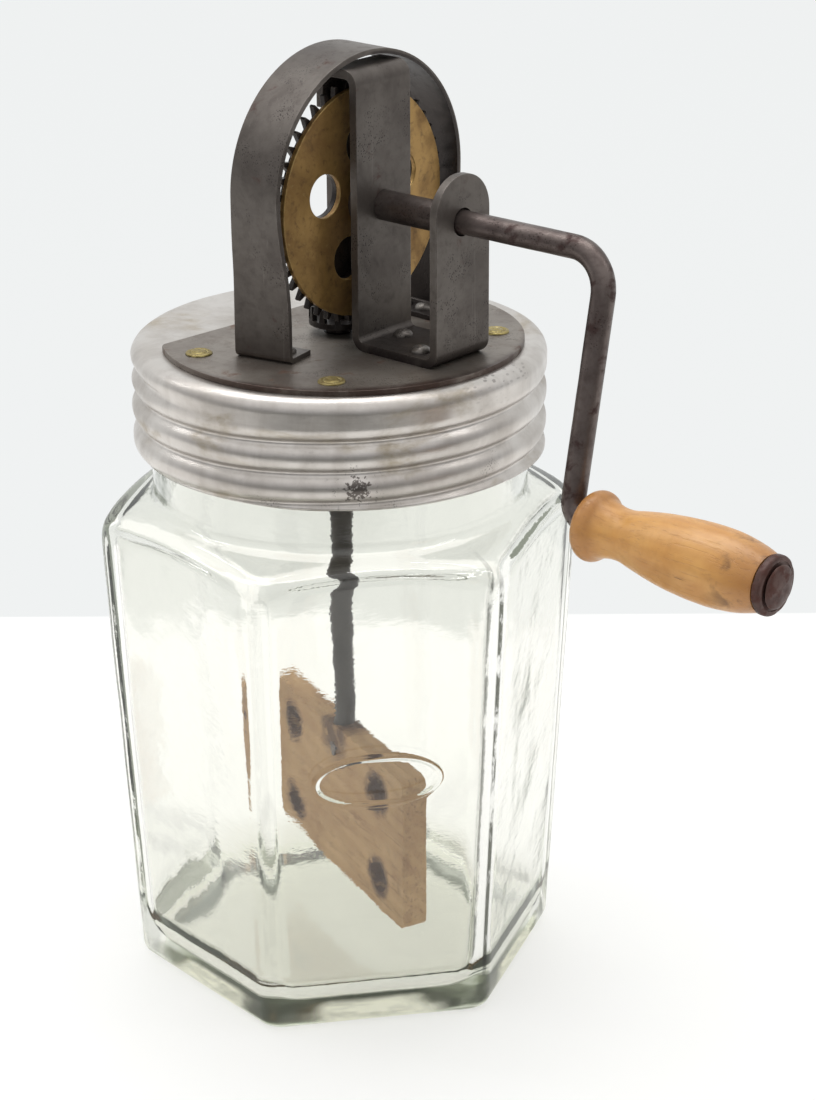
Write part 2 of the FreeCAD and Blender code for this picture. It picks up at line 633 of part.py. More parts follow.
def cartouche():
    """Return the plain raised oval band on the face that looks at the viewer."""
    lean = math.radians(value("Size.jar_taper"))
    level = value("Size.cartouche_level")
    half_turn = math.pi / JAR_SIDES
    toward = math.radians(value("Size.jar_turn")) - 3 * half_turn
    corner = value("Size.jar_base_radius") + math.tan(lean) * level
    outward = Vector(math.cos(toward), math.sin(toward), 0)
    across = Vector(-math.sin(toward), math.cos(toward), 0)
    middle = outward * (corner * math.cos(half_turn)) + Vector(0, 0, level)
    # The side leans less than the corner, by the same share as its distance from the axis.
    side_lean = math.atan(math.tan(lean) * math.cos(half_turn))
    upward = Vector(0, 0, math.cos(side_lean)) + outward * math.sin(side_lean)
    normal = across.cross(upward)
    depth = value("Size.jar_wall") / 2
    wide, tall = value("Size.cartouche_width") / 2, value("Size.cartouche_height") / 2
    band = value("Size.cartouche_band")

    def oval(half_width, half_height):
        start = middle - normal * depth
        ellipse = Part.Ellipse(start + across * half_width, start + upward * half_height, start)
        face = Part.Face(Part.Wire(ellipse.toShape()))
        return face.extrude(normal * (depth + value("Size.cartouche_rise")))

    return oval(wide, tall).cut(oval(wide - band, tall - band))


# Screw cap

def cap_shape():
    """Return the cap: a flat top, a rounded edge and rolled rings, all of one thin sheet."""
    wave = math.radians(value("Size.cap_wave"))
    sheet_thickness = value("Size.cap_sheet")
    ring_half, notch_half = value("Size.cap_ring_half"), value("Size.cap_notch_half")
    ring_radius, notch_radius = ring_half / math.sin(wave), notch_half / math.sin(wave)
    ring_centre = value("Size.cap_radius") - ring_radius
    notch_centre = ring_centre + (ring_radius + notch_radius) * math.cos(wave)
    top = value(CAP_TOP)
    middles = ring_middles()
    bottom = middles[-1] - value("Size.cap_lip")

    def wall(shift):
        """Return the wavy wall's points from the top down, moved inward by shift."""
        ring, notch = ring_radius - shift, notch_radius + shift
        points = [Vector(0, 0, top - shift), Vector(ring_centre, 0, top - shift)]
        for number, middle in enumerate(middles):
            start = math.pi / 2 if number == 0 else wave
            end = -wave
            if number == len(middles) - 1:
                end = -math.asin((middle - bottom) / ring)
            half_way = (start + end) / 2
            points.append((
                Vector(ring_centre + ring * math.cos(half_way), 0, middle + ring * math.sin(half_way)),
                Vector(ring_centre + ring * math.cos(end), 0, middle + ring * math.sin(end)),
            ))
            if number < len(middles) - 1:
                notch_middle = middle - ring_half - notch_half
                points.append((
                    Vector(notch_centre - notch, 0, notch_middle),
                    Vector(notch_centre - notch * math.cos(wave), 0,
                           notch_middle - notch * math.sin(wave)),
                ))
        return points

    outer = wall(0)
    inner = wall(sheet_thickness)
    solids = []
    for points in (outer, inner):
        closed = points + [Vector(0, 0, bottom)]
        face = polyline_face(closed, Vector(0, -1, 0))
        solids.append(face.revolve(Vector(0, 0, 0), Vector(0, 0, 1), 360))
    cap = solids[0].cut(solids[1])
    holes = [(("0", "0"), "Size.bush_radius")]
    holes += [(place, "Size.plate_rivet_shank") for place in PLATE_RIVETS]
    holes += [(place, "Size.frame_rivet_shank") for place in ARCH_RIVETS + BRACKET_RIVETS]
    drills = [
        Part.makeCylinder(
            value(radius), 3 * sheet_thickness,
            Vector(value(place[0]), value(place[1]), top - 2 * sheet_thickness),
        )
        for place, radius in holes
    ]
    return cap.cut(drills)


new_shape("glass_jar", jar_shape())
new_shape("screw_cap", cap_shape())


# Sealing ring between the glass rim and the cap

seal = new_body("lid_seal")
seal_sketch = new_sketch(seal, "section", "XZ_Plane")
draw(seal_sketch, [
    ("Size.seal_inner_radius", MOUTH),
    ("Size.seal_outer_radius", MOUTH),
    ("Size.seal_outer_radius", CAP_UNDERSIDE),
    ("Size.seal_inner_radius", CAP_UNDERSIDE),
])
revolve(seal, seal_sketch)


# Base plate: a disc with one straight side

plate = new_body("base_plate", PLATE_FRAME)
plate_sketch = new_sketch(plate, "outline", "XY_Plane", CAP_TOP)
half_chord = "sqrt(Size.plate_radius * Size.plate_radius - Size.plate_chord * Size.plate_chord)"
draw(plate_sketch, [
    ("-Size.plate_chord", f"-{half_chord}"),
    ("Size.plate_radius", "0", "Size.plate_radius", 1),
    ("-Size.plate_chord", half_chord, "Size.plate_radius", 1),
])
pad(plate, plate_sketch, "Size.plate_thickness")
chord_place = value("Size.plate_chord")
round_edges(
    plate, "corners", "Size.plate_corner_round",
    lambda middle, edge: near(middle.x, -chord_place) and edge.BoundBox.ZLength > 1
    and edge.BoundBox.YLength < 0.01,
)
plate_holes = new_sketch(plate, "holes", "XY_Plane", PLATE_TOP)
drilled = [(("0", "0"), "Size.bush_radius")]
drilled += [(place, "Size.plate_rivet_shank") for place in PLATE_RIVETS]
drilled += [(place, "Size.frame_rivet_shank") for place in ARCH_RIVETS + BRACKET_RIVETS]
for place, hole_radius in drilled:
    circle(plate_holes, *seen_from(PLATE_MIDDLE, "Size.plate_turn", place), hole_radius)
cut(plate, plate_holes, "Size.plate_thickness")


# Rivets

def rivet(label, place, seat, kind, dome=False):
    """Make a rivet whose head stands on a level and whose closed end is under the cap."""
    head, height = f"Size.{kind}_head", f"Size.{kind}_head_height"
    shank = f"Size.{kind}_shank"
    tail, tail_height = "Size.rivet_tail", "Size.rivet_tail_height"
    body = new_body(label, frame(place[0], place[1], "0"))
    sketch = new_sketch(body, "section", "XZ_Plane")
    if dome:
        dome_radius = f"(({head} * {head} + {height} * {height}) / (2 * {height}))"
        top = [("0", f"{seat} + {height}"), (head, seat, dome_radius, -1)]
    else:
        edge = "Size.plate_rivet_edge"
        top = [
            ("0", f"{seat} + {height}"),
            (f"{head} - {edge}", f"{seat} + {height}"),
            (head, f"{seat} + {height} - {edge}", edge, -1),
            (head, seat),
        ]
    draw(sketch, top + [
        (shank, seat),
        (shank, CAP_UNDERSIDE),
        (tail, CAP_UNDERSIDE),
        (tail, f"{CAP_UNDERSIDE} - {tail_height}"),
        ("0", f"{CAP_UNDERSIDE} - {tail_height}"),
    ])
    revolve(body, sketch)


for number, place in enumerate(PLATE_RIVETS, start=1):
    rivet(f"plate_rivet_{number}", place, PLATE_TOP, "plate_rivet")
for number, place in enumerate(ARCH_RIVETS, start=1):
    rivet(f"arch_rivet_{number}", place, f"({PLATE_TOP} + Size.arch_thickness)", "frame_rivet", True)
for number, place in enumerate(BRACKET_RIVETS, start=1):
    rivet(f"bracket_rivet_{number}", place, STRIP_TOP, "frame_rivet", True)


# Arch guard: one bent strip with two inward feet

arch = new_body("arch_guard", ARCH_FRAME)
arch_sketch = new_sketch(arch, "side", "YZ_Plane")
thick = "Size.arch_thickness"
bend = "Size.arch_foot_round"
quarter = "(Size.arch_draw_height / 2)"
# Two equal arcs, one the mirror of the other, draw each leg in.
draw_round = f"(({quarter} * {quarter} + Size.arch_draw * Size.arch_draw / 4) / Size.arch_draw)"
draw_lean = f"asin({quarter} / {draw_round})"
leg_low = f"({ARCH_LEVEL} - Size.arch_draw_height)"
leg_middle = f"({ARCH_LEVEL} - {quarter})"
middle_out = f"({ARCH_RADIUS} - Size.arch_draw / 2)"
middle_in = f"({middle_out} - {thick} * cos({draw_lean}))"
middle_in_level = f"({leg_middle} + {thick} * sin({draw_lean}))"
right_leg = [
    ("Size.arch_foot_end", PLATE_TOP),
    (f"{ARCH_FOOT} - {bend}", PLATE_TOP),
    (ARCH_FOOT, f"{PLATE_TOP} + {bend}", bend, 1),
    (ARCH_FOOT, leg_low),
    (middle_out, leg_middle, draw_round, -1),
    (ARCH_RADIUS, ARCH_LEVEL, draw_round, 1),
]
crown_outside = [
    ("0", f"{ARCH_LEVEL} + {ARCH_RADIUS}", ARCH_RADIUS, 1),
    (f"-{ARCH_RADIUS}", ARCH_LEVEL, ARCH_RADIUS, 1),
]
left_leg_outside = [
    (f"-{middle_out}", leg_middle, draw_round, 1),
    (f"-{ARCH_FOOT}", leg_low, draw_round, -1),
    (f"-{ARCH_FOOT}", f"{PLATE_TOP} + {bend}"),
    (f"-{ARCH_FOOT} + {bend}", PLATE_TOP, bend, 1),
    ("-Size.arch_foot_end", PLATE_TOP),
]
left_leg_inside = [
    ("-Size.arch_foot_end", f"{PLATE_TOP} + {thick}"),
    (f"-{ARCH_FOOT} + {bend}", f"{PLATE_TOP} + {thick}"),
    (f"-{ARCH_FOOT} + {thick}", f"{PLATE_TOP} + {bend}", f"{bend} - {thick}", -1),
    (f"-{ARCH_FOOT} + {thick}", leg_low),
    (f"-{middle_in}", middle_in_level, f"{draw_round} - {thick}", 1),
    (f"-{ARCH_INSIDE}", ARCH_LEVEL, f"{draw_round} + {thick}", -1),
]
crown_inside = [
    ("0", f"{ARCH_LEVEL} + {ARCH_INSIDE}", ARCH_INSIDE, -1),
    (ARCH_INSIDE, ARCH_LEVEL, ARCH_INSIDE, -1),
]
right_leg_inside = [
    (middle_in, middle_in_level, f"{draw_round} + {thick}", -1),
    (f"{ARCH_FOOT} - {thick}", leg_low, f"{draw_round} - {thick}", 1),
    (f"{ARCH_FOOT} - {thick}", f"{PLATE_TOP} + {bend}"),
    (f"{ARCH_FOOT} - {bend}", f"{PLATE_TOP} + {thick}", f"{bend} - {thick}", -1),
    ("Size.arch_foot_end", f"{PLATE_TOP} + {thick}"),
]
draw(arch_sketch, right_leg + crown_outside + left_leg_outside
     + left_leg_inside + crown_inside + right_leg_inside)
pad(arch, arch_sketch, "Size.arch_width", both_ways=True)
foot_holes = new_sketch(arch, "foot_holes", "XY_Plane", f"{PLATE_TOP} + {thick}")
for place in ARCH_RIVETS:
    hole_place = seen_from(("Size.arch_middle", "0"), "Size.arch_turn", place)
    circle(foot_holes, *hole_place, "Size.frame_rivet_shank")
cut(arch, foot_holes, thick)


# Bracket: one strip, up as an ear, along the plate, up in front of the wheel and down behind it

bracket = new_body("gear_bracket")
bracket_sketch = new_sketch(bracket, "side", "XZ_Plane")
outer_bend = "Size.strip_bend"
ear_top = f"({AXLE} + Size.ear_rise)"
top_inside = f"({BRACKET_TOP} - Size.strip_thickness)"
rear_end = f"({SHAFT_TOP} + Size.rear_room)"
draw(bracket_sketch, [
    ("Size.ear_face", ear_top),
    (EAR_BACK, ear_top),
    (EAR_BACK, f"{STRIP_TOP} + {INNER_BEND}"),
    (f"{EAR_BACK} - {INNER_BEND}", STRIP_TOP, INNER_BEND, -1),
    (f"Size.leg_face + {INNER_BEND}", STRIP_TOP),
    ("Size.leg_face", f"{STRIP_TOP} + {INNER_BEND}", INNER_BEND, -1),
    ("Size.leg_face", f"{BRACKET_TOP} - {outer_bend}"),
    (f"Size.leg_face - {outer_bend}", BRACKET_TOP, outer_bend, 1),
    (f"Size.rear_face + {outer_bend}", BRACKET_TOP),
    ("Size.rear_face", f"{BRACKET_TOP} - {outer_bend}", outer_bend, 1),
    ("Size.rear_face", rear_end),
    (REAR_FRONT, rear_end),
    (REAR_FRONT, f"{top_inside} - {INNER_BEND}"),
    (f"{REAR_FRONT} + {INNER_BEND}", top_inside, INNER_BEND, -1),
    (f"{LEG_BACK} - {INNER_BEND}", top_inside),
    (LEG_BACK, f"{top_inside} - {INNER_BEND}", INNER_BEND, -1),
    (LEG_BACK, f"{PLATE_TOP} + {outer_bend}"),
    (f"{LEG_BACK} + {outer_bend}", PLATE_TOP, outer_bend, 1),
    (f"Size.ear_face - {outer_bend}", PLATE_TOP),
    ("Size.ear_face", f"{PLATE_TOP} + {outer_bend}", outer_bend, 1),
])
pad(bracket, bracket_sketch, "Size.strip_width", both_ways=True)
ear_middle = value(f"(Size.ear_face + {EAR_BACK}) / 2")
ear_level = value(ear_top)
round_edges(
    bracket, "ear_corners", "Size.ear_round",
    lambda middle, edge: near(middle.x, ear_middle) and near(middle.z, ear_level)
    and edge.BoundBox.YLength < 0.01,
)
narrowing = new_sketch(bracket, "rear_sides", "YZ_Plane", REAR_FRONT)
for side in ("-", ""):
    outer_side = f"{side}(Size.strip_width / 2 + 1)"
    inner_side = f"{side}Size.rear_width / 2"
    shoulder = f"({BRACKET_TOP} - Size.rear_shoulder)"
    low = f"({rear_end} - 1)"
    draw(narrowing, [
        (inner_side, low), (outer_side, low), (outer_side, shoulder), (inner_side, shoulder),
    ])
cut(bracket, narrowing, "Size.strip_thickness")
rear_middle = value(f"(Size.rear_face + {REAR_FRONT}) / 2")
rear_level = value(rear_end)
round_edges(
    bracket, "rear_corners", "Size.rear_end_round",
    lambda middle, edge: near(middle.x, rear_middle) and near(middle.z, rear_level)
    and edge.BoundBox.YLength < 0.01,
)
axle_hole = new_sketch(bracket, "axle_hole", "YZ_Plane")
circle(axle_hole, "0", AXLE, ROD_HOLE)
cut(bracket, axle_hole)
# The ear's hole is wider, because the sleeve behind it carries the rod.
ear_hole = new_sketch(bracket, "ear_hole", "YZ_Plane", "Size.ear_face")
circle(ear_hole, "0", AXLE, "(Size.rod_radius + Size.ear_play)")
cut(bracket, ear_hole, "Size.strip_thickness")
base_holes = new_sketch(bracket, "base_holes", "XY_Plane", STRIP_TOP)
for place in BRACKET_RIVETS:
    circle(base_holes, *place, "Size.frame_rivet_shank")
cut(bracket, base_holes, "Size.strip_thickness")


# Sleeve that keeps the ear and the front leg apart, and the bush of the dasher shaft

sleeve = new_body("axle_sleeve", frame("0", "0", AXLE))
sleeve_sketch = new_sketch(sleeve, "section", "XZ_Plane")
draw(sleeve_sketch, [
    ("Size.leg_face", ROD_HOLE), (EAR_BACK, ROD_HOLE),
    (EAR_BACK, "Size.sleeve_radius"), ("Size.leg_face", "Size.sleeve_radius"),
])
revolve(sleeve, sleeve_sketch, "H_Axis")

bush = new_body("shaft_bush")
bush_sketch = new_sketch(bush, "section", "XZ_Plane")
draw(bush_sketch, [
    (BUSH_BORE, BUSH_BOTTOM), ("Size.bush_flange_radius", BUSH_BOTTOM),
    ("Size.bush_flange_radius", CAP_UNDERSIDE), ("Size.bush_radius", CAP_UNDERSIDE),
    ("Size.bush_radius", PLATE_TOP), (BUSH_BORE, PLATE_TOP),
])
revolve(bush, bush_sketch)


# Crank: one round rod bent twice

rod = new_body("crank_rod", CRANK_FRAME)
path = new_sketch(rod, "path", "XZ_Plane")
spindle_shoulder = "(Size.grip_length - Size.end_play)"
# Distance along the spindle from the arm's line to the shoulder before its thin end.
spindle_run = f"({GRIP_START} + {spindle_shoulder})"
draw(path, [
    (ROD_START, "0"),
    ("Size.crank_reach - Size.upper_bend", "0"),
    ("Size.crank_reach", "-Size.upper_bend", "Size.upper_bend", -1),
    ("Size.crank_reach", f"{SPINDLE_BEND} - Size.crank_arm"),
    (
        f"Size.crank_reach + {SPINDLE_BEND} * cos(Size.spindle_tilt)",
        f"-Size.crank_arm - {SPINDLE_BEND} * sin(Size.spindle_tilt)",
        "Size.lower_bend", 1,
    ),
    (
        f"Size.crank_reach + {spindle_run} * cos(Size.spindle_tilt)",
        f"-Size.crank_arm - {spindle_run} * sin(Size.spindle_tilt)",
    ),
], closed=False)
rod_section = new_sketch(rod, "section", "YZ_Plane", ROD_START)
circle(rod_section, "0", "0", "Size.rod_radius")
pipe = rod.newObject("PartDesign::AdditivePipe", "crank_rod_pipe")
pipe.Profile = rod_section
pipe.Spine = (path, [])
document.recompute()
tenon = new_sketch(rod, "tenon", "XZ_Plane")
tenon_end = (
    f"({spindle_run} + Size.ferrule_thickness + 2 * Size.end_play + Size.spindle_head_height)"
)


def along_spindle(distance, radius):
    """Return the place at a distance along the spindle and a radius off its axis."""
    tilt = "Size.spindle_tilt"
    return (
        f"Size.crank_reach + {distance} * cos({tilt}) + {radius} * sin({tilt})",
        f"-Size.crank_arm - {distance} * sin({tilt}) + {radius} * cos({tilt})",
    )


draw(tenon, [
    along_spindle(spindle_run, "0"), along_spindle(tenon_end, "0"),
    along_spindle(tenon_end, "Size.tenon_radius"), along_spindle(spindle_run, "Size.tenon_radius"),
])
tenon_axis = tenon.addGeometry(
    Part.LineSegment(
        Vector(*[value(item) for item in along_spindle(spindle_run, "0")], 0),
        Vector(*[value(item) for item in along_spindle(tenon_end, "0")], 0),
    ),
    True,
)
for point, distance in enumerate((spindle_run, tenon_end), start=1):
    across, up = along_spindle(distance, "0")
    bind(tenon, "DistanceX", tenon_axis, point, across)
    bind(tenon, "DistanceY", tenon_axis, point, up)
revolve(rod, tenon, "Axis0")
pin_middle = f"(({DISC_FRONT} + {LEG_BACK} - Size.hub_clearance) / 2)"
rod_pin_hole = new_sketch(rod, "pin_hole", "XZ_Plane")
circle(rod_pin_hole, pin_middle, "0", "Size.pin_radius")
cut(rod, rod_pin_hole)

head = new_body("spindle_head", SPINDLE_FRAME)
head_sketch = new_sketch(head, "section", "XZ_Plane")
head_start = "(Size.grip_length + Size.ferrule_thickness + Size.end_play)"
head_end = f"({head_start} + Size.spindle_head_height)"
head_rim = "(Size.spindle_head_radius - Size.tenon_radius)"
head_round = (
    f"(({head_rim} * {head_rim} + Size.spindle_head_height * Size.spindle_head_height)"
    " / (2 * Size.spindle_head_height))"
)
draw(head_sketch, [
    (head_start, "Size.tenon_radius"), (head_start, "Size.spindle_head_radius"),
    (head_end, "Size.tenon_radius", head_round, -1),
])
revolve(head, head_sketch, "H_Axis")


# Wheel: a toothed steel plate with a brass disc on its face, on one hub

def wheel_hole_places():
    """Return the lightening holes' centres in the crank's frame."""
    return [
        (
            f"Size.wheel_hole_circle * cos({angle} + Size.crank_rest)",
            f"Size.wheel_hole_circle * sin({angle} + Size.crank_rest)",
        )
        for angle in WHEEL_HOLE_ANGLES
    ]


def round_plate(label, back, radius, thickness):
    """Make a round plate of the wheel with its seat and its lightening holes."""
    body = new_body(label, CRANK_FRAME)
    sketch = new_sketch(body, "outline", "YZ_Plane", back)
    circle(sketch, "0", "0", radius)
    pad(body, sketch, thickness)
    return body


def pierce(body):
    """Cut the seat and the lightening holes through a plate of the wheel."""
    sketch = new_sketch(body, "holes", "YZ_Plane")
    circle(sketch, "0", "0", "Size.wheel_bore")
    for place in wheel_hole_places():
        circle(sketch, *place, "Size.wheel_hole_radius")
    cut(body, sketch)


disc = round_plate("gear_disc", WHEEL_FRONT, "Size.disc_radius", "Size.disc_thickness")
pierce(disc)

toothed = round_plate(
    "toothed_wheel", WHEEL_BACK, WHEEL_ROOT, "Size.wheel_thickness"
)
tooth_sketch = new_sketch(toothed, "tooth", "YZ_Plane", WHEEL_BACK)
# The first tooth points straight down when the crank is at rest.
down = "(270 + Size.crank_rest)"


def turned_corner(radius, side):
    """Return a corner of the lowest tooth, at a radius and a distance off its middle line."""
    return (
        f"{radius} * cos({down}) - {side} * sin({down})",
        f"{radius} * sin({down}) + {side} * cos({down})",
    )


# A tooth reaches into the plate, so that its straight foot meets the round rim all along.
tooth_foot = f"({WHEEL_ROOT} - Size.wheel_tooth_height / 4)"
draw(tooth_sketch, [
    turned_corner(tooth_foot, "(-Size.wheel_tooth_root / 2)"),
    turned_corner("Size.wheel_tip_radius", "(-Size.wheel_tooth_tip / 2)"),
    turned_corner("Size.wheel_tip_radius", "(Size.wheel_tooth_tip / 2)"),
    turned_corner(tooth_foot, "(Size.wheel_tooth_root / 2)"),
])
tooth = pad(toothed, tooth_sketch, "Size.wheel_thickness")
repeat_round(toothed, tooth, tooth_sketch, "N_Axis", "Size.wheel_teeth")
pierce(toothed)

hub = new_body("wheel_hub", CRANK_FRAME)
hub_sketch = new_sketch(hub, "section", "XZ_Plane")
hub_back = f"({REAR_FRONT} + Size.hub_clearance)"
hub_front = f"({LEG_BACK} - Size.hub_clearance)"
draw(hub_sketch, [
    (hub_back, "Size.rod_radius"), (hub_back, "Size.hub_collar_radius"),
    (WHEEL_BACK, "Size.hub_collar_radius"), (WHEEL_BACK, "Size.wheel_bore"),
    (DISC_FRONT, "Size.wheel_bore"), (DISC_FRONT, "Size.hub_radius"),
    (hub_front, "Size.hub_radius"), (hub_front, "Size.rod_radius"),
])
revolve(hub, hub_sketch, "H_Axis")
hub_pin_hole = new_sketch(hub, "pin_hole", "XZ_Plane")
circle(hub_pin_hole, pin_middle, "0", "Size.pin_radius")
cut(hub, hub_pin_hole)

hub_pin = new_body("hub_pin", CRANK_FRAME)
hub_pin_sketch = new_sketch(hub_pin, "section", "XZ_Plane")
circle(hub_pin_sketch, pin_middle, "0", "Size.pin_radius")
pad(hub_pin, hub_pin_sketch, "2 * (Size.hub_radius + Size.pin_proud)", both_ways=True)


# Crown pinion on top of the dasher shaft

pinion = new_body("pinion", PINION_FRAME)
pinion_sketch = new_sketch(pinion, "section", "XZ_Plane")
draw(pinion_sketch, [
    ("Size.shaft_radius", PINION_BOTTOM), ("Size.pinion_hub_radius", PINION_BOTTOM),
    ("Size.pinion_hub_radius", FLANGE_BOTTOM), ("Size.pinion_radius", FLANGE_BOTTOM),
    ("Size.pinion_radius", FLANGE_TOP), ("Size.shaft_radius", FLANGE_TOP),
])
revolve(pinion, pinion_sketch)
crown_sketch = new_sketch(pinion, "tooth", "YZ_Plane", "(Size.pinion_radius - Size.pinion_tooth_depth)")
draw(crown_sketch, [
    ("-Size.pinion_tooth_root / 2", f"{FLANGE_TOP} - Size.pinion_flange / 2"),
    ("Size.pinion_tooth_root / 2", f"{FLANGE_TOP} - Size.pinion_flange / 2"),
    ("Size.pinion_tooth_root / 2", FLANGE_TOP),
    ("Size.pinion_tooth_tip / 2", CROWN_TOP),
    ("-Size.pinion_tooth_tip / 2", CROWN_TOP),
    ("-Size.pinion_tooth_root / 2", FLANGE_TOP),
])
# The chord of a tooth's outer face stays inside the flange's rim.
tooth_reach = (
    "(sqrt(Size.pinion_radius * Size.pinion_radius - Size.pinion_tooth_root"
    " * Size.pinion_tooth_root / 4) - Size.pinion_radius + Size.pinion_tooth_depth)"
)
crown_tooth = pad(pinion, crown_sketch, tooth_reach)
repeat_round(pinion, crown_tooth, pinion_sketch, "V_Axis", "Size.pinion_teeth")


# Dasher shaft, its collar, the wooden paddle and the nail that holds it

shaft = new_body("dasher_shaft", PADDLE_FRAME)
shaft_sketch = new_sketch(shaft, "section", "XZ_Plane")
draw(shaft_sketch, [
    ("0", TANG_BOTTOM), ("Size.tang_radius", TANG_BOTTOM), ("Size.tang_radius", PADDLE_TOP),
    ("Size.shaft_radius", PADDLE_TOP), ("Size.shaft_radius", SHAFT_TOP), ("0", SHAFT_TOP),
])
revolve(shaft, shaft_sketch)
nail_level = f"({PADDLE_TOP} - Size.paddle_pin_drop)"
# The nail crosses the shaft's lower end in the paddle's own direction.
nail_hole = new_sketch(shaft, "nail_hole", "XZ_Plane")
circle(nail_hole, "0", nail_level, "Size.paddle_pin_radius")
cut(shaft, nail_hole)

collar = new_body("shaft_collar")
collar_sketch = new_sketch(collar, "section", "XZ_Plane")
draw(collar_sketch, [
    ("Size.shaft_radius", f"{COLLAR_TOP} - Size.collar_height"),
    ("Size.collar_radius", f"{COLLAR_TOP} - Size.collar_height"),
    ("Size.collar_radius", COLLAR_TOP), ("Size.shaft_radius", COLLAR_TOP),
])
revolve(collar, collar_sketch)

paddle = new_body("dasher_paddle", PADDLE_FRAME)
paddle_sketch = new_sketch(paddle, "board", "XZ_Plane")
half_width = "Size.paddle_width / 2"
corner = "Size.paddle_corner_round"
draw(paddle_sketch, [
    (f"{half_width} - {corner}", "Size.paddle_bottom"),
    (half_width, f"Size.paddle_bottom + {corner}", corner, 1),
    (half_width, f"{PADDLE_TOP} - {corner}"),
    (f"{half_width} - {corner}", PADDLE_TOP, corner, 1),
    (f"-{half_width} + {corner}", PADDLE_TOP),
    (f"-{half_width}", f"{PADDLE_TOP} - {corner}", corner, 1),
    (f"-{half_width}", f"Size.paddle_bottom + {corner}"),
    (f"-{half_width} + {corner}", "Size.paddle_bottom", corner, 1),
])
pad(paddle, paddle_sketch, "Size.paddle_thickness", both_ways=True)
paddle_holes = new_sketch(paddle, "holes", "XZ_Plane")
paddle_middle = "(Size.paddle_bottom + Size.paddle_height / 2)"
for side in ("-", ""):
    for rise in ("-", "+"):
        circle(
            paddle_holes, f"{side}Size.paddle_hole_across",
            f"{paddle_middle} {rise} Size.paddle_hole_rise", "Size.paddle_hole_radius",
        )
circle(paddle_holes, "0", nail_level, "Size.paddle_pin_radius")
cut(paddle, paddle_holes)
socket = new_sketch(paddle, "socket", "XY_Plane", PADDLE_TOP)
circle(socket, "0", "0", "Size.tang_radius")
cut(paddle, socket, "Size.tang_length")

nail = new_body("paddle_pin", PADDLE_FRAME)
nail_sketch = new_sketch(nail, "section", "XY_Plane")
head_face = "(Size.paddle_thickness / 2)"
head_top = f"({head_face} + Size.paddle_pin_head_height)"
draw(nail_sketch, [
    ("0", f"-{head_top}"), ("Size.paddle_pin_head", f"-{head_top}"),
    ("Size.paddle_pin_head", f"-{head_face}"), ("Size.paddle_pin_radius", f"-{head_face}"),
    ("Size.paddle_pin_radius", head_face), ("Size.paddle_pin_head", head_face),
    ("Size.paddle_pin_head", head_top), ("0", head_top),
])
nail_sketch.setExpression("AttachmentOffset.Base.z", nail_level)
revolve(nail, nail_sketch)


# Wooden grip and its end cap, loose on the spindle

grip = new_body("wooden_grip", SPINDLE_FRAME)
grip_sketch = new_sketch(grip, "section", "XZ_Plane")
grip_bore = "(Size.rod_radius + Size.grip_clearance)"
belly_rise = "(Size.grip_belly_radius - Size.grip_end_radius)"


def belly_round(run):
    """Return the radius of an arc that runs level at the belly and drops to an end."""
    return f"(({run} * {run} + {belly_rise} * {belly_rise}) / (2 * {belly_rise}))"


draw(grip_sketch, [
    ("0", grip_bore),
    ("0", "Size.grip_end_radius"),
    ("Size.grip_collar_length", "Size.grip_collar_foot", "Size.grip_collar_round", -1),
    ("Size.grip_neck_length", "Size.grip_end_radius", "Size.grip_neck_round", 1),
    (
        "Size.grip_belly_place", "Size.grip_belly_radius",
        belly_round("(Size.grip_belly_place - Size.grip_neck_length)"), -1,
    ),
    (
        "Size.grip_length", "Size.grip_end_radius",
        belly_round("(Size.grip_length - Size.grip_belly_place)"), -1,
    ),
    ("Size.grip_length", grip_bore),
])
revolve(grip, grip_sketch, "H_Axis")

ferrule = new_body("grip_ferrule", SPINDLE_FRAME)
ferrule_sketch = new_sketch(ferrule, "section", "XZ_Plane")
ferrule_bore = "(Size.tenon_radius + Size.tenon_clearance)"
ferrule_end = "(Size.grip_length + Size.ferrule_thickness)"
draw(ferrule_sketch, [
    ("Size.grip_length", ferrule_bore),
    ("Size.grip_length", "Size.ferrule_radius - Size.ferrule_round"),
    ("Size.grip_length + Size.ferrule_round", "Size.ferrule_radius", "Size.ferrule_round", -1),
    (f"{ferrule_end} - Size.ferrule_round", "Size.ferrule_radius"),
    (ferrule_end, "Size.ferrule_radius - Size.ferrule_round", "Size.ferrule_round", -1),
    (ferrule_end, ferrule_bore),
])
revolve(ferrule, ferrule_sketch, "H_Axis")


# Check every object and write one file for each sub-part

document.recompute()
for item in document.Objects:
    if "Invalid" in item.State or "Error" in item.State:
        raise RuntimeError(f"{item.Name} is not valid: {item.State}")

os.makedirs("parts", exist_ok=True)
for item in document.Objects:
    if item.TypeId not in ("PartDesign::Body", "Part::Feature"):
        continue
    if item.Shape.isNull() or not item.Shape.isValid():
        raise RuntimeError(f"{item.Label} has no valid shape")
    if len(item.Shape.Solids) != 1:
        raise RuntimeError(f"{item.Label} is not one solid")
    item.Shape.exportStep(f"parts/{item.Label}.step")
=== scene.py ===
"""Looks of a hand-cranked glass butter churn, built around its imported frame.

Everything is in metres in the frame's own axes: the origin is at the centre of the jar's underside,
+Z is up, and +X runs along the crank's axle, out towards the crank.
"""
from __future__ import annotations

import logging
import math
from dataclasses import dataclass, field
from enum import Enum
from typing import Callable, ClassVar, Sequence

import bmesh
import bpy
from mathutils import Matrix, Vector, noise

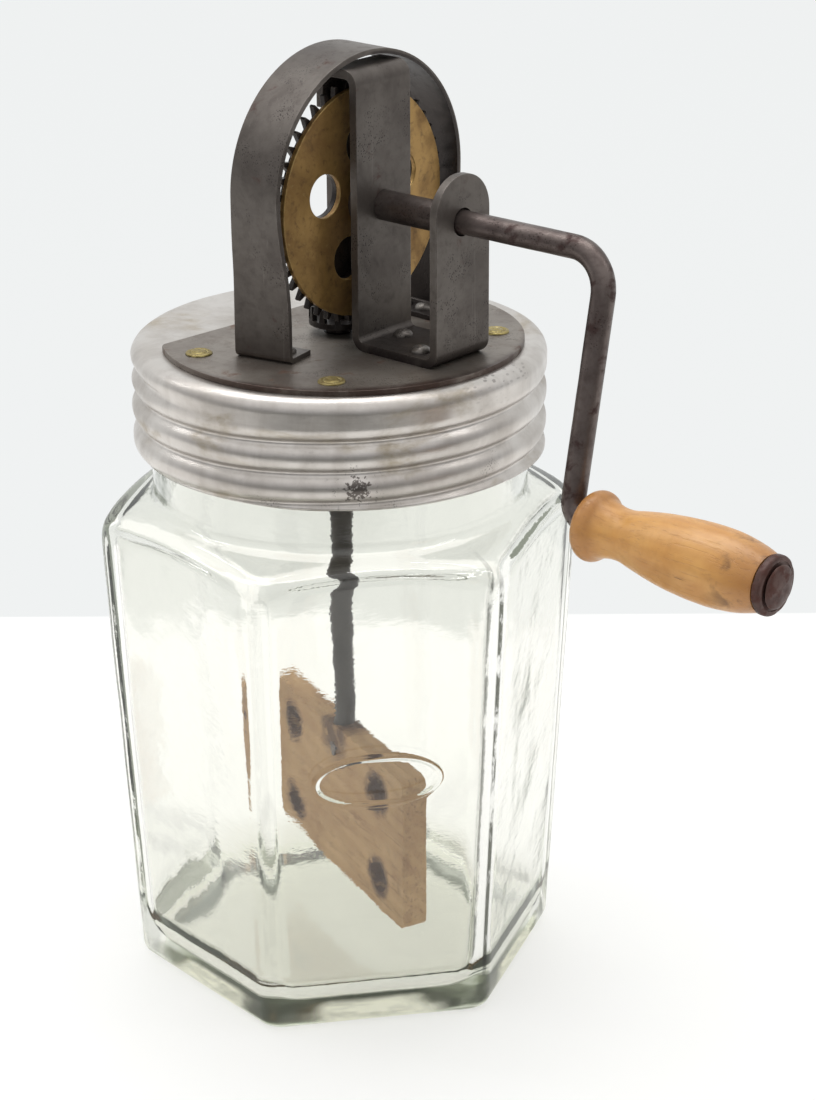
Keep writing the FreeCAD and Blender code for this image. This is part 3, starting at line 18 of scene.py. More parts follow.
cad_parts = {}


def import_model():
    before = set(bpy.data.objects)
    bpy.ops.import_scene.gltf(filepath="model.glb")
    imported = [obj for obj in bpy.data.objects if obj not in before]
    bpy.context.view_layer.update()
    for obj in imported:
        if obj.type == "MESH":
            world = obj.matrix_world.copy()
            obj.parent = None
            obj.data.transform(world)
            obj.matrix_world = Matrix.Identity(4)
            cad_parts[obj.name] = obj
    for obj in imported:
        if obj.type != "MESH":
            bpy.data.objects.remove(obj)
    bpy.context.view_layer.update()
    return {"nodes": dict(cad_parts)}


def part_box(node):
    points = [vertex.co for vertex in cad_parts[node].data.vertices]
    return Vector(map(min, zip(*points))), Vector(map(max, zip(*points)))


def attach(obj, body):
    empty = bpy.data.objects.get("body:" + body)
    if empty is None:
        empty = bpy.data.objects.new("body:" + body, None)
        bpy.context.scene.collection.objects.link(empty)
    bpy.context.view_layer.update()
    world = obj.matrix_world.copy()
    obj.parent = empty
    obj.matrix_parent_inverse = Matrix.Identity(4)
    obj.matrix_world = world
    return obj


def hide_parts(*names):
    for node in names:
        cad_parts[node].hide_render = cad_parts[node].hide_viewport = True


LOG = logging.getLogger("butter_churn")
MM = 0.001
QUARTER = math.pi / 2
FULL = 2 * math.pi

Triple = tuple[float, float, float]
Colour = Triple
Point = tuple[float, float]
Socket = bpy.types.NodeSocket
Mesh = bmesh.types.BMesh
Station = tuple[Vector, Vector, float]


def srgb(*levels: int) -> Colour:
    """Return the linear values of a colour as seen on a screen, given from 0 to 255."""
    shares = [level / 255 for level in levels]
    return tuple(share / 12.92 if share <= 0.04045 else ((share + 0.055) / 1.055) ** 2.4 for share in shares)


class Look(Enum):
    """Looks of the churn's pieces: a material slot of the record, and what sets a look in it apart."""

    CLEAR_GLASS = "clear_glass"
    SEAL_RUBBER = "seal_rubber"
    WORN_ALUMINIUM = "worn_aluminium"
    FRAME_STEEL = "dark_steel.frame"
    ARCH_STEEL = "dark_steel.arch"
    PLATE_STEEL = "dark_steel.plate"
    GEAR_STEEL = "dark_steel.gears"
    DISC_BRASS = "old_brass.disc"
    RIVET_BRASS = "old_brass.rivets"
    ROD_STEEL = "crank_steel.rod"
    SLEEVE_STEEL = "crank_steel.sleeve"
    RUSTY_STEEL = "rusty_steel"
    RIVET_STEEL = "tinned_steel.rivets"
    SHAFT_STEEL = "tinned_steel.shaft"
    GRIP_WOOD = "grip_wood"
    PADDLE_WOOD = "paddle_wood"

    @property
    def slot(self) -> str:
        """Return the name of the record's material slot."""
        return self.value.split(".")[0]


class DarkeningPlace(Enum):
    """Where a piece is darkened: painted shade on the arch's inner face, darker towards the frame's foot, and darker
    towards the plate's rim.
    """

    NOWHERE = "nowhere"
    FOOT = "foot"
    RIM = "rim"
    # Painted shade on the inner face of the arch.
    UNDER_ARCH = "under_arch"


# Shader trees


class ShaderSheet:
    """One node tree, with short ways to add nodes and join them."""

    def __init__(self, tree: bpy.types.NodeTree) -> None:
        """Take the tree of a material, a world or a node group, and clear it."""
        self.tree = tree
        tree.nodes.clear()

    def add(self, kind: str, sockets: dict | None = None, **settings: object) -> bpy.types.Node:
        """Add a node.

        Args:
            kind: The node's type, without the word ShaderNode in front.
            sockets: What goes into its inputs: a value, or an output socket to join.
            settings: Values of the node's own settings.

        Returns:
            The new node.
        """
        # The two ends of a node group carry their own full type names.
        node = self.tree.nodes.new(kind if kind.startswith("NodeGroup") else "ShaderNode" + kind)
        for name, setting in settings.items():
            setattr(node, name, setting)
        for name, content in (sockets or {}).items():
            self.feed(node, name, content)
        return node

    def feed(self, node: bpy.types.Node, name: str | int, content: object) -> None:
        """Set or join one input of a node.

        Args:
            node: The node that has the input.
            name: The input's name or place in the list.
            content: A number, a vector, a colour, or an output socket to join.
        """
        socket = node.inputs[name]
        if isinstance(content, Socket):
            self.tree.links.new(content, socket)
            return
        if socket.type == "RGBA" and len(content) == 3:
            content = (*content, 1.0)
        socket.default_value = content

    def math(self, operation: str, first: object, second: object = 0.0, clamp: bool = False) -> Socket:
        """Return the output of a Math node over one or two values."""
        return self.add("Math", {0: first, 1: second}, operation=operation, use_clamp=clamp).outputs[0]

    def plus(self, total: object, mask: object, weight: float) -> Socket:
        """Return a total with a weighted mask added to it."""
        return self.add("Math", {0: mask, 1: weight, 2: total}, operation="MULTIPLY_ADD").outputs[0]

    def product(self, *masks: object) -> Socket:
        """Return two or more masks multiplied with each other.

        Args:
            masks: The masks or numbers.

        Returns:
            The output socket.
        """
        first, *others = masks
        for mask in others:
            first = self.math("MULTIPLY", first, mask)
        return first

    def vector(self, operation: str, first: object, second: object = (0.0, 0.0, 0.0)) -> Socket:
        """Return what a Vector Math node gives: a number for a dot product or a length, otherwise a vector."""
        node = self.add("VectorMath", {0: first, 1: second}, operation=operation)
        return node.outputs["Value" if operation in ("DOT_PRODUCT", "LENGTH") else "Vector"]

    def parts(self, vector: Socket) -> bpy.types.NodeOutputs:
        """Return X, Y and Z of a vector."""
        return self.add("SeparateXYZ", {0: vector}).outputs

    def distance(self, first: object, second: object) -> Socket:
        """Return how far a point is from the origin of its plane."""
        return self.vector("LENGTH", self.add("CombineXYZ", {0: first, 1: second}).outputs[0])

    def ramp(self, share: object, low: object, high: object, to_low: float = 0.0, to_high: float = 1.0,
             kind: str = "SMOOTHSTEP") -> Socket:
        """Return a step from one value to another.

        Args:
            share: The value that is read.
            low: Where the step starts.
            high: Where the step ends.
            to_low: What it gives before the start.
            to_high: What it gives past the end.
            kind: The form of the step.

        Returns:
            The output socket.
        """
        sockets = {"Value": share, "From Min": low, "From Max": high, "To Min": to_low, "To Max": to_high}
        return self.add("MapRange", sockets, interpolation_type=kind).outputs["Result"]

    def blend(self, share: object, first: object, second: object) -> Socket:
        """Return a colour between two colours, with a share of the second from 0 to 1.

        Args:
            share: How much of the second colour there is.
            first: The first colour.
            second: The second colour.

        Returns:
            The output socket.
        """
        node = self.add("Mix", {0: share}, data_type="RGBA", clamp_factor=True)
        self.feed(node, 6, first)
        self.feed(node, 7, second)
        return node.outputs[2]

    def place(self, scale: Sequence[float] = (1, 1, 1), turn: Sequence[float] = (0, 0, 0),
              shift: Sequence[float] = (0, 0, 0)) -> Socket:
        """Return the object's own coordinates, scaled, turned and moved."""
        seat = self.add("TexCoord").outputs["Object"]
        return self.add("Mapping", {
            "Vector": seat, "Location": shift, "Rotation": turn, "Scale": scale,
        }).outputs[0]

    def cloud(self, vector: object, scale: object, detail: float = 4.0, rough: float = 0.55,
              warp: float = 0.0) -> Socket:
        """Return a noise texture's value.

        Args:
            vector: The coordinates.
            scale: The number of clouds in a metre.
            detail: How many finer layers there are.
            rough: How strong the finer layers are.
            warp: How far the clouds are twisted.

        Returns:
            The value socket.
        """
        return self.add("TexNoise", {
            "Vector": vector, "Scale": scale, "Detail": detail, "Roughness": rough, "Distortion": warp,
        }).outputs[0]

    def wander(self, vector: object) -> Socket:
        """Return a small slow drift to either side, for an edge or a line that isn't straight."""
        return self.math("MULTIPLY", self.math("SUBTRACT", self.cloud(vector, 90.0, 3.0), 0.5), 0.16)

    def bump(self, height: object, depth: float) -> Socket:
        """Return the normal of a relief that is depth metres deep."""
        return self.add("Bump", {"Height": height, "Strength": 1.0, "Distance": depth}).outputs[0]

    def through(self, share: object, shader: Socket, tint: object) -> Socket:
        """Return a shader that a share of the light passes straight, with a tint."""
        clear = self.add("BsdfTransparent", {"Color": tint}).outputs[0]
        return self.add("MixShader", {0: share, 1: shader, 2: clear}).outputs[0]


class Effect:
    """A node group for an effect that more than one finish uses."""

    def __init__(self, name: str, inputs: dict[str, float | None], outputs: Sequence[str]) -> None:
        """Make the empty group with its named sockets.

        Args:
            name: The group's name.
            inputs: What each input holds at first. None stands for a vector.
            outputs: The names of its outputs.
        """
        self.group = bpy.data.node_groups.new(name, "ShaderNodeTree")
        for title, start in inputs.items():
            kind = "NodeSocketVector" if start is None else "NodeSocketFloat"
            socket = self.group.interface.new_socket(title, in_out="INPUT", socket_type=kind)
            if start is not None:
                socket.default_value = start
        for title in outputs:
            self.group.interface.new_socket(title, in_out="OUTPUT", socket_type="NodeSocketFloat")
        self.sheet = ShaderSheet(self.group)
        self.given = self.sheet.add("NodeGroupInput").outputs

    def give(self, **sockets: Socket) -> Effect:
        """Join the group's outputs, and return the effect."""
        self.sheet.add("NodeGroupOutput", sockets)
        return self

    def use(self, sheet: ShaderSheet, **sockets: object) -> bpy.types.NodeOutputs:
        """Place the group in a material.

        Args:
            sheet: The material's tree.
            sockets: What goes into the group's inputs, with _ for a space.

        Returns:
            The placed node's outputs.
        """
        named = {name.replace("_", " "): content for name, content in sockets.items()}
        return sheet.add("Group", named, node_tree=self.group).outputs


def edge_wear_effect() -> Effect:
    """Return the mask of rubbed edges: 1 on a bare edge, 0 on a plain face.

    Returns:
        The effect.
    """
    effect = Effect("edge_wear", {"Reach": 0.8 * MM, "Breakup": 350.0}, ["Mask"])
    sheet, given = effect.sheet, effect.given
    rounded = sheet.add("Bevel", {"Radius": given["Reach"]}, samples=4).outputs[0]
    plain = sheet.add("NewGeometry").outputs["Normal"]
    edge = sheet.ramp(sheet.vector("DOT_PRODUCT", rounded, plain), 0.999, 0.93)
    cloud = sheet.cloud(sheet.place(), given["Breakup"], 3.0, 0.5)
    return effect.give(Mask=sheet.product(edge, sheet.ramp(cloud, 0.35, 0.6)))


def blotch_effect() -> Effect:
    """Return soft uneven patches, as of handling, grease and old tarnish.

    Returns:
        The effect.
    """
    effect = Effect("blotches", {"Vector": None, "Scale": 60.0, "Low": 0.4, "High": 0.65}, ["Mask"])
    sheet, given = effect.sheet, effect.given
    cloud = sheet.cloud(given["Vector"], given["Scale"], 8.0, 0.62, 0.3)
    return effect.give(Mask=sheet.ramp(cloud, given["Low"], given["High"]))


def scratch_effect() -> Effect:
    """Return long thin lines along X of the coordinates that it is given.

    Returns:
        The effect.
    """
    effect = Effect("fine_scratches", {"Vector": None, "Density": 1.0, "Share": 0.6}, ["Mask", "Streak"])
    sheet, given = effect.sheet, effect.given
    stretched = sheet.vector("MULTIPLY", given["Vector"], (6.0, 420.0, 420.0))
    lines = sheet.cloud(sheet.vector("MULTIPLY", stretched, given["Density"]), 1.0, 6.0, 0.7)
    high = sheet.math("ADD", given["Share"], 0.06)
    return effect.give(Mask=sheet.ramp(lines, given["Share"], high, kind="LINEAR"), Streak=lines)


def pit_effect() -> Effect:
    """Return small scattered pits that come in groups.

    Returns:
        The effect.
    """
    effect = Effect("pits", {"Vector": None, "Scale": 900.0, "Group Scale": 60.0, "Group Low": 0.6}, ["Mask"])
    sheet, given = effect.sheet, effect.given
    cells = sheet.add("TexVoronoi", {"Vector": given["Vector"], "Scale": given["Scale"]}).outputs["Distance"]
    groups = sheet.cloud(given["Vector"], given["Group Scale"], 3.0, 0.5)
    high = sheet.math("ADD", given["Group Low"], 0.1)
    crowd = sheet.ramp(groups, given["Group Low"], high, kind="LINEAR")
    return effect.give(Mask=sheet.product(sheet.ramp(cells, 0.38, 0.22), crowd))


def grain_effect() -> Effect:
    """Return wood grain along X of the coordinates: growth bands and fine pores.

    Returns:
        The effect.
    """
    effect = Effect("wood_grain", {"Vector": None, "Bands": 260.0, "Pores": 1.0}, ["Band", "Pore"])
    sheet, given = effect.sheet, effect.given
    long_way = sheet.vector("MULTIPLY", given["Vector"], (0.10, 1.0, 1.0))
    drift = sheet.cloud(long_way, 55.0, 3.0, 0.5)
    wave = sheet.add("TexWave", {
        "Vector": long_way, "Scale": given["Bands"], "Distortion": sheet.math("MULTIPLY", drift, 7.0),
        "Detail": 2.0, "Detail Scale": 1.5,
    }, wave_type="BANDS", bands_direction="DIAGONAL", wave_profile="SIN")
    thin = sheet.vector("MULTIPLY", given["Vector"], (90.0, 1700.0, 1700.0))
    fine = sheet.cloud(sheet.vector("MULTIPLY", thin, given["Pores"]), 1.0, 3.0, 0.6)
    return effect.give(Band=wave.outputs["Fac"], Pore=sheet.ramp(fine, 0.56, 0.66))


@dataclass(frozen=True)
class Effects:
    """All the shared effects, each built once."""

    edge_wear: Effect = field(default_factory=edge_wear_effect)
    blotches: Effect = field(default_factory=blotch_effect)
    scratches: Effect = field(default_factory=scratch_effect)
    pits: Effect = field(default_factory=pit_effect)
    grain: Effect = field(default_factory=grain_effect)


# Finishes


class Kind(Enum):
    """What the mask of a layer is made of."""

    BLOTCHES = "blotches"
    PITS = "pits"
    LINES = "lines"
    EDGES = "edges"
    CLOUD = "cloud"
    BANDS = "bands"
    PORES = "pores"
    OWN = "own"


@dataclass(frozen=True)
class Layer:
    """One mask over a finish, and what it adds to the colour, the roughness, the relief and the coat.

    The scale is a number in a metre: of clouds, pits, bands, or breaks along a worn edge. The mask starts at low and
    is full at high. A method of the finish makes the mask of a layer of the kind OWN.
    """

    kind: Kind
    colour: Colour | None = None
    strength: float = 1.0
    scale: float = 1.0
    low: float = 0.0
    high: float = 1.0
    rough: float = 0.0
    relief: float = 0.0
    coat: float = 0.0
    stretch: Triple = (1.0, 1.0, 1.0)
    turn: Triple = (0.0, 0.0, 0.0)
    shift: Triple = (0.0, 0.0, 0.0)
    group: float = 60.0
    reach: float = 0.8 * MM
    detail: float = 4.0
    grit: float = 0.55
    made_by: Callable[[ShaderSheet, Effects], Socket] | None = None


@dataclass(frozen=True)
class Finish:
    """A finish of one kind of surface."""

    def shader(self, sheet: ShaderSheet, effects: Effects) -> Socket:
        """Return the shader of the surface."""
        raise NotImplementedError

    def build(self, name: str, effects: Effects) -> bpy.types.Material:
        """Make the finished material.

        Args:
            name: The material's name.
            effects: The shared effects.

        Returns:
            The new material.
        """
        material = bpy.data.materials.new(name)
        material.use_nodes = True
        sheet = ShaderSheet(material.node_tree)
        sheet.add("OutputMaterial", {"Surface": self.shader(sheet, effects)})
        return material


@dataclass(frozen=True)
class LayeredFinish(Finish):
    """A finish made of a plain colour and of layers over it."""

    plain: Colour
    roughness: float
    depth: float
    metallic: float = 0.0
    specular: float = 0.5
    coat_roughness: float = 0.03

    def layers(self) -> tuple[Layer, ...]:
        """Return the layers, the lowest first."""
        raise NotImplementedError

    def place(self, sheet: ShaderSheet, layer: Layer = Layer(Kind.OWN)) -> Socket:
        """Return the coordinates that a layer's pattern is made on."""
        return sheet.place(layer.stretch, layer.turn, layer.shift)

    def masks(self, sheet: ShaderSheet, effects: Effects, layer: Layer) -> tuple[Socket, Socket]:
        """Make a layer's mask.

        Args:
            sheet: The material's tree.
            effects: The shared effects.
            layer: The layer.

        Returns:
            The mask, and the height that goes with it.
        """
        seat = None if layer.kind in (Kind.OWN, Kind.EDGES) else self.place(sheet, layer)
        match layer.kind:
            case Kind.OWN:
                mask = layer.made_by(sheet, effects)
            case Kind.EDGES:
                mask = effects.edge_wear.use(sheet, Reach=layer.reach, Breakup=layer.scale)["Mask"]
            case Kind.BLOTCHES:
                patches = effects.blotches.use(sheet, Vector=seat, Scale=layer.scale, Low=layer.low, High=layer.high)
                mask = patches["Mask"]
            case Kind.PITS:
                groups = {"Group_Scale": layer.group, "Group_Low": layer.low}
                mask = effects.pits.use(sheet, Vector=seat, Scale=layer.scale, **groups)["Mask"]
            case Kind.LINES:
                lines = effects.scratches.use(sheet, Vector=seat, Density=layer.scale, Share=layer.low)
                return lines["Mask"], lines["Streak"]
            case Kind.CLOUD:
                mask = sheet.cloud(seat, layer.scale, layer.detail, layer.grit)
            case Kind.BANDS:
                mask = effects.grain.use(sheet, Vector=seat, Bands=layer.scale)["Band"]
            case Kind.PORES:
                mask = effects.grain.use(sheet, Vector=seat, Pores=layer.scale)["Pore"]
        return mask, mask

    def shader(self, sheet: ShaderSheet, effects: Effects) -> Socket:
        """Return the shader of the plain surface under its layers.

        Args:
            sheet: The material's tree.
            effects: The shared effects.

        Returns:
            The shader's socket.
        """
        colour, rough, relief, coat = self.plain, self.roughness, 0.0, 0.0
        for layer in self.layers():
            mask, height = self.masks(sheet, effects, layer)
            if layer.colour:
                colour = sheet.blend(sheet.product(mask, layer.strength), colour, layer.colour)
            if layer.rough:
                rough = sheet.plus(rough, mask, layer.rough)
            if layer.relief:
                relief = sheet.plus(relief, height, layer.relief)
            if layer.coat:
                coat = sheet.plus(coat, mask, layer.coat)
        return sheet.add("BsdfPrincipled", {
            "Base Color": colour, "Metallic": self.metallic, "Roughness": rough, "Specular IOR Level": self.specular,
            "Coat Weight": coat, "Coat Roughness": self.coat_roughness, "Normal": sheet.bump(relief, self.depth),
        }).outputs[0]


@dataclass(frozen=True)
class OldSteel(LayeredFinish):
    """Sheet or rod steel, darkened by age, rubbed light on its edges."""

    plain: Colour = srgb(98, 92, 87)
    dark: Colour = srgb(68, 61, 57)
    light: Colour = srgb(134, 128, 122)
    rust: Colour = srgb(78, 50, 44)
    pit: Colour = srgb(40, 32, 30)
    # Colour of the darkening layer: painted shade under the arch, and the darker tone towards the frame's foot.
    darkening: Colour = srgb(44, 38, 37)
    roughness: float = 0.42
    metallic: float = 0.7
    depth: float = 0.07 * MM
    rust_low: float = 0.62
    blotch_scale: float = 55.0
    line_share: float = 0.64
    wear: float = 0.3
    # Where the darkening layer goes and over what span it fades in: painted shade on the arch, darker towards the
    # frame's foot or the plate's rim.
    darkening_place: DarkeningPlace = DarkeningPlace.NOWHERE
    darkening_from: float = 0.0
    darkening_to: float = 1.0
    arch_middle: float = 251.3 * MM
    arch_draw: float = 2.4 / 36.0

    def darkening_mask(self, sheet: ShaderSheet, _: Effects) -> Socket:
        """Return the mask of the darkening: painted shade on the arch's inner face, a ragged darkening towards the
        frame's foot, and one towards the plate's rim.

        Args:
            sheet: The material's tree.

        Returns:
            The mask.
        """
        seat = self.place(sheet)
        parts = sheet.parts(seat)
        reach = parts[2]
        if self.darkening_place is DarkeningPlace.RIM:
            reach = sheet.distance(parts[0], parts[1])
        # Painted shade: the inner face of the arch's rear half is darkened.
        if self.darkening_place is DarkeningPlace.UNDER_ARCH:
            above = sheet.math("SUBTRACT", parts[2], self.arch_middle)
            crown = sheet.distance(parts[1], sheet.math("MAXIMUM", above, 0.0))
            inside = sheet.plus(crown, sheet.math("MINIMUM", above, 0.0), -self.arch_draw)
            rear = sheet.ramp(parts[1], -2 * MM, 2 * MM, 0.0, 0.8)
            return sheet.product(rear, sheet.ramp(inside, self.darkening_from, self.darkening_to))
        # Darker towards the foot or the rim, broken up by clouds.
        amount = sheet.ramp(reach, self.darkening_from, self.darkening_to)
        return sheet.product(amount, sheet.ramp(sheet.cloud(seat, 130.0, 5.0), 0.25, 0.55, 0.35))

    def layers(self) -> tuple[Layer, ...]:
        """Return tarnish, rust, scratches, pits, worn edges, and a darkening: painted shade on the arch's inner
        face, darker towards the frame's foot, darker towards the plate's rim.

        Returns:
            The layers, the lowest first.
        """
        scale = self.blotch_scale
        layers = (
            Layer(Kind.BLOTCHES, self.dark, 0.65, scale, low=0.38, high=0.68),
            Layer(Kind.BLOTCHES, self.dark, 0.35, scale * 6, low=0.45, high=0.75, rough=0.1),
            Layer(Kind.BLOTCHES, self.rust, 0.75, scale * 1.7, low=self.rust_low, high=self.rust_low + 0.12,
                  rough=0.22, shift=(0.31, 0.17, 0.05)),
            Layer(Kind.LINES, self.light, 0.25, low=self.line_share, relief=0.12, turn=(0.0, math.pi / 2, 0.0)),
            Layer(Kind.PITS, self.pit, 0.7, 1300.0, low=0.52, group=90.0, relief=-0.6),
            Layer(Kind.EDGES, self.light, self.wear, 300.0, reach=0.7 * MM, rough=-0.12),
            Layer(Kind.CLOUD, scale=240.0, detail=5.0, relief=1.0),
        )
        if self.darkening_place is DarkeningPlace.NOWHERE:
            return layers
        # The darkening layer: painted shade on the arch's inner face, or darker towards the foot or the rim, by the
        # piece's place.
        return *layers, Layer(Kind.OWN, self.darkening, made_by=self.darkening_mask)


@dataclass(frozen=True)
class WornAluminium(LayeredFinish):
    """Spun sheet aluminium, dull and streaky, with tarnish, stains and pits."""

    plain: Colour = srgb(208, 203, 198)
    dull: Colour = srgb(170, 163, 156)
    stain: Colour = srgb(146, 130, 98)
    bright: Colour = srgb(240, 238, 235)
    pit: Colour = srgb(70, 62, 58)
    roughness: float = 0.24
    metallic: float = 0.92
    depth: float = 0.12 * MM
    corroded: Triple = (45.3 * MM, -42.6 * MM, 175.6 * MM)
    corroded_reach: float = 5.2 * MM

    def corrosion(self, sheet: ShaderSheet, _: Effects) -> Socket:
        """Return the mask of the one dark cluster of pits, low on the front.

        Args:
            sheet: The material's tree.

        Returns:
            The mask.
        """
        away = sheet.vector("LENGTH", sheet.place(shift=tuple(-place for place in self.corroded)))
        close_by = sheet.ramp(away, self.corroded_reach, self.corroded_reach * 0.25)
        grains = sheet.cloud(sheet.place(), 900.0, 3.0, 0.65)
        pitted = sheet.ramp(sheet.plus(grains, close_by, 0.22), 0.60, 0.68)
        return sheet.product(pitted, sheet.ramp(away, self.corroded_reach * 2.0, self.corroded_reach))

    def layers(self) -> tuple[Layer, ...]:
        """Return tarnish, streaks, stains, worn edges, pits and the rings of the spinning."""
        return (
            Layer(Kind.BLOTCHES, self.dull, 0.75, 38.0, low=0.36, high=0.7, rough=0.14),
            Layer(Kind.BLOTCHES, self.dull, 0.4, 150.0, low=0.42, high=0.7, stretch=(1.0, 1.0, 0.22)),
            Layer(Kind.BLOTCHES, self.stain, 0.7, 26.0, low=0.54, high=0.72, rough=0.18,
                  stretch=(1.0, 1.0, 2.4), shift=(0.12, 0.02, 0.07)),
            Layer(Kind.EDGES, self.bright, 0.4, 220.0, reach=1.2 * MM),
            Layer(Kind.PITS, self.pit, 0.85, 1500.0, low=0.63, group=38.0, relief=-0.5),
            Layer(Kind.PITS, self.pit, 0.45, 430.0, low=0.66, group=24.0, stretch=(1.0, 1.0, 2.6)),
            Layer(Kind.OWN, self.pit, 0.85, made_by=self.corrosion),
            Layer(Kind.CLOUD, scale=1500.0, detail=5.0, grit=0.7, rough=0.1, relief=0.18, stretch=(0.08, 0.08, 1.0)),
            Layer(Kind.CLOUD, scale=120.0, relief=1.0),
        )


@dataclass(frozen=True)
class OldBrass(LayeredFinish):
    """Brass gone brown, rubbed brighter on its edges."""

    plain: Colour = srgb(164, 130, 76)
    brown: Colour = srgb(124, 94, 56)
    bright: Colour = srgb(196, 172, 112)
    speck: Colour = srgb(78, 58, 38)
    roughness: float = 0.34
    metallic: float = 0.6
    depth: float = 0.05 * MM

    def layers(self) -> tuple[Layer, ...]:
        """Return tarnish, specks, scratches and worn edges."""
        return (
            Layer(Kind.BLOTCHES, self.brown, 0.85, 70.0, low=0.36, high=0.66, rough=0.2),
            Layer(Kind.BLOTCHES, self.speck, 0.5, 420.0, low=0.5, high=0.72),
            Layer(Kind.LINES, self.bright, 0.25, 1.4, low=0.63, relief=0.2, turn=(0.6, 0.3, 0.9)),
            Layer(Kind.EDGES, self.bright, 0.6, 500.0, reach=0.6 * MM),
            Layer(Kind.CLOUD, scale=300.0, detail=5.0, relief=1.0),
        )


@dataclass(frozen=True)
class SealRubber(LayeredFinish):
    """Pale seal rubber, dusty and slightly cracked."""

    plain: Colour = srgb(196, 188, 172)
    deep: Colour = srgb(150, 138, 118)
    roughness: float = 0.6
    depth: float = 0.06 * MM

    def layers(self) -> tuple[Layer, ...]:
        """Return the darker patches and the fine relief."""
        return (
            Layer(Kind.BLOTCHES, self.deep, 1.0, 90.0, low=0.4, high=0.7, rough=0.2),
            Layer(Kind.CLOUD, scale=700.0, relief=1.0),
        )


@dataclass(frozen=True)
class TurnedWood(LayeredFinish):
    """Turned hardwood under worn varnish, stained at both ends and checked along its grain."""

    plain: Colour = srgb(190, 135, 70)
    pale: Colour = srgb(206, 154, 86)
    deep: Colour = srgb(150, 98, 52)
    darkening: Colour = srgb(70, 44, 28)
    roughness: float = 0.36
    specular: float = 0.45
    coat_roughness: float = 0.25
    depth: float = 0.09 * MM
    spindle: Matrix = field(default_factory=Matrix)
    length: float = 60.5 * MM
    crack_side: float = math.radians(-62.0)
    crack_start: float = 20.0 * MM
    crack_end: float = 47.0 * MM

    def place(self, sheet: ShaderSheet, layer: Layer = Layer(Kind.OWN)) -> Socket:
        """Return the grip's own coordinates, with X along it."""
        back = self.spindle.inverted()
        return sheet.place(turn=back.to_euler(), shift=back.translation)

    def at_cap(self, sheet: ShaderSheet) -> Socket:
        """Return the mask of the stained end under the end cap."""
        return sheet.ramp(sheet.parts(self.place(sheet))[0], self.length * 0.74, self.length * 0.99)

    def at_both_ends(self, sheet: ShaderSheet, _: Effects) -> Socket:
        """Return the mask of both darker ends.

        Args:
            sheet: The material's tree.

        Returns:
            The mask.
        """
        along = sheet.parts(self.place(sheet))[0]
        at_collar = sheet.ramp(along, self.length * 0.17, self.length * 0.08, 0.0, 0.9)
        return sheet.math("MAXIMUM", self.at_cap(sheet), at_collar)

    def stained(self, sheet: ShaderSheet, effects: Effects) -> Socket:
        """Return the mask of the dark stains, strongest under the end cap."""
        stains, _ = self.masks(sheet, effects, self.stains())
        return sheet.product(stains, sheet.plus(0.08, self.at_cap(sheet), 0.85))

    def stains(self) -> Layer:
        """Return the layer of the stains."""
        return Layer(Kind.BLOTCHES, scale=130.0, low=0.5, high=0.66, rough=0.2)

    def checked(self, sheet: ShaderSheet, _: Effects) -> Socket:
        """Return the mask of the fine checks and of the one long crack that runs with the grain.

        Args:
            sheet: The material's tree.

        Returns:
            The mask.
        """
        place = self.place(sheet)
        fine = sheet.vector("MULTIPLY", place, (60.0, 620.0, 620.0))
        checks = sheet.ramp(sheet.cloud(fine, 1.0, 2.0, 0.5), 0.73, 0.76, 0.0, 0.6)
        parts = sheet.parts(place)
        side = sheet.plus(sheet.math("ARCTAN2", parts[2], parts[1]), sheet.wander(place), 1.0)
        off = sheet.math("ABSOLUTE", sheet.math("SUBTRACT", side, self.crack_side))
        middle = (self.crack_start + self.crack_end) / 2
        half = (self.crack_end - self.crack_start) / 2
        way = sheet.math("ABSOLUTE", sheet.math("SUBTRACT", parts[0], middle))
        crack = sheet.product(sheet.ramp(off, 0.03, 0.008), sheet.ramp(way, half, half * 0.7))
        return sheet.math("MAXIMUM", checks, crack)

    def layers(self) -> tuple[Layer, ...]:
        """Return the wood's patches and grain, its stains, checks and worn edges."""
        return (
            Layer(Kind.BLOTCHES, self.pale, 1.0, 60.0, low=0.35, high=0.7, coat=0.25),
            Layer(Kind.BANDS, self.deep, 0.13, 150.0),
            Layer(Kind.PORES, self.deep, 0.22, 1.0, relief=-0.5),
            Layer(Kind.OWN, self.deep, 0.6, made_by=self.at_both_ends),
            Layer(Kind.OWN, self.darkening, made_by=self.stained),
            self.stains(),
            Layer(Kind.OWN, self.darkening, 0.75, relief=-2.0, made_by=self.checked),
            Layer(Kind.EDGES, self.deep, 0.4, 200.0, reach=1.5 * MM),
            Layer(Kind.CLOUD, scale=130.0, detail=3.0, relief=1.2),
        )


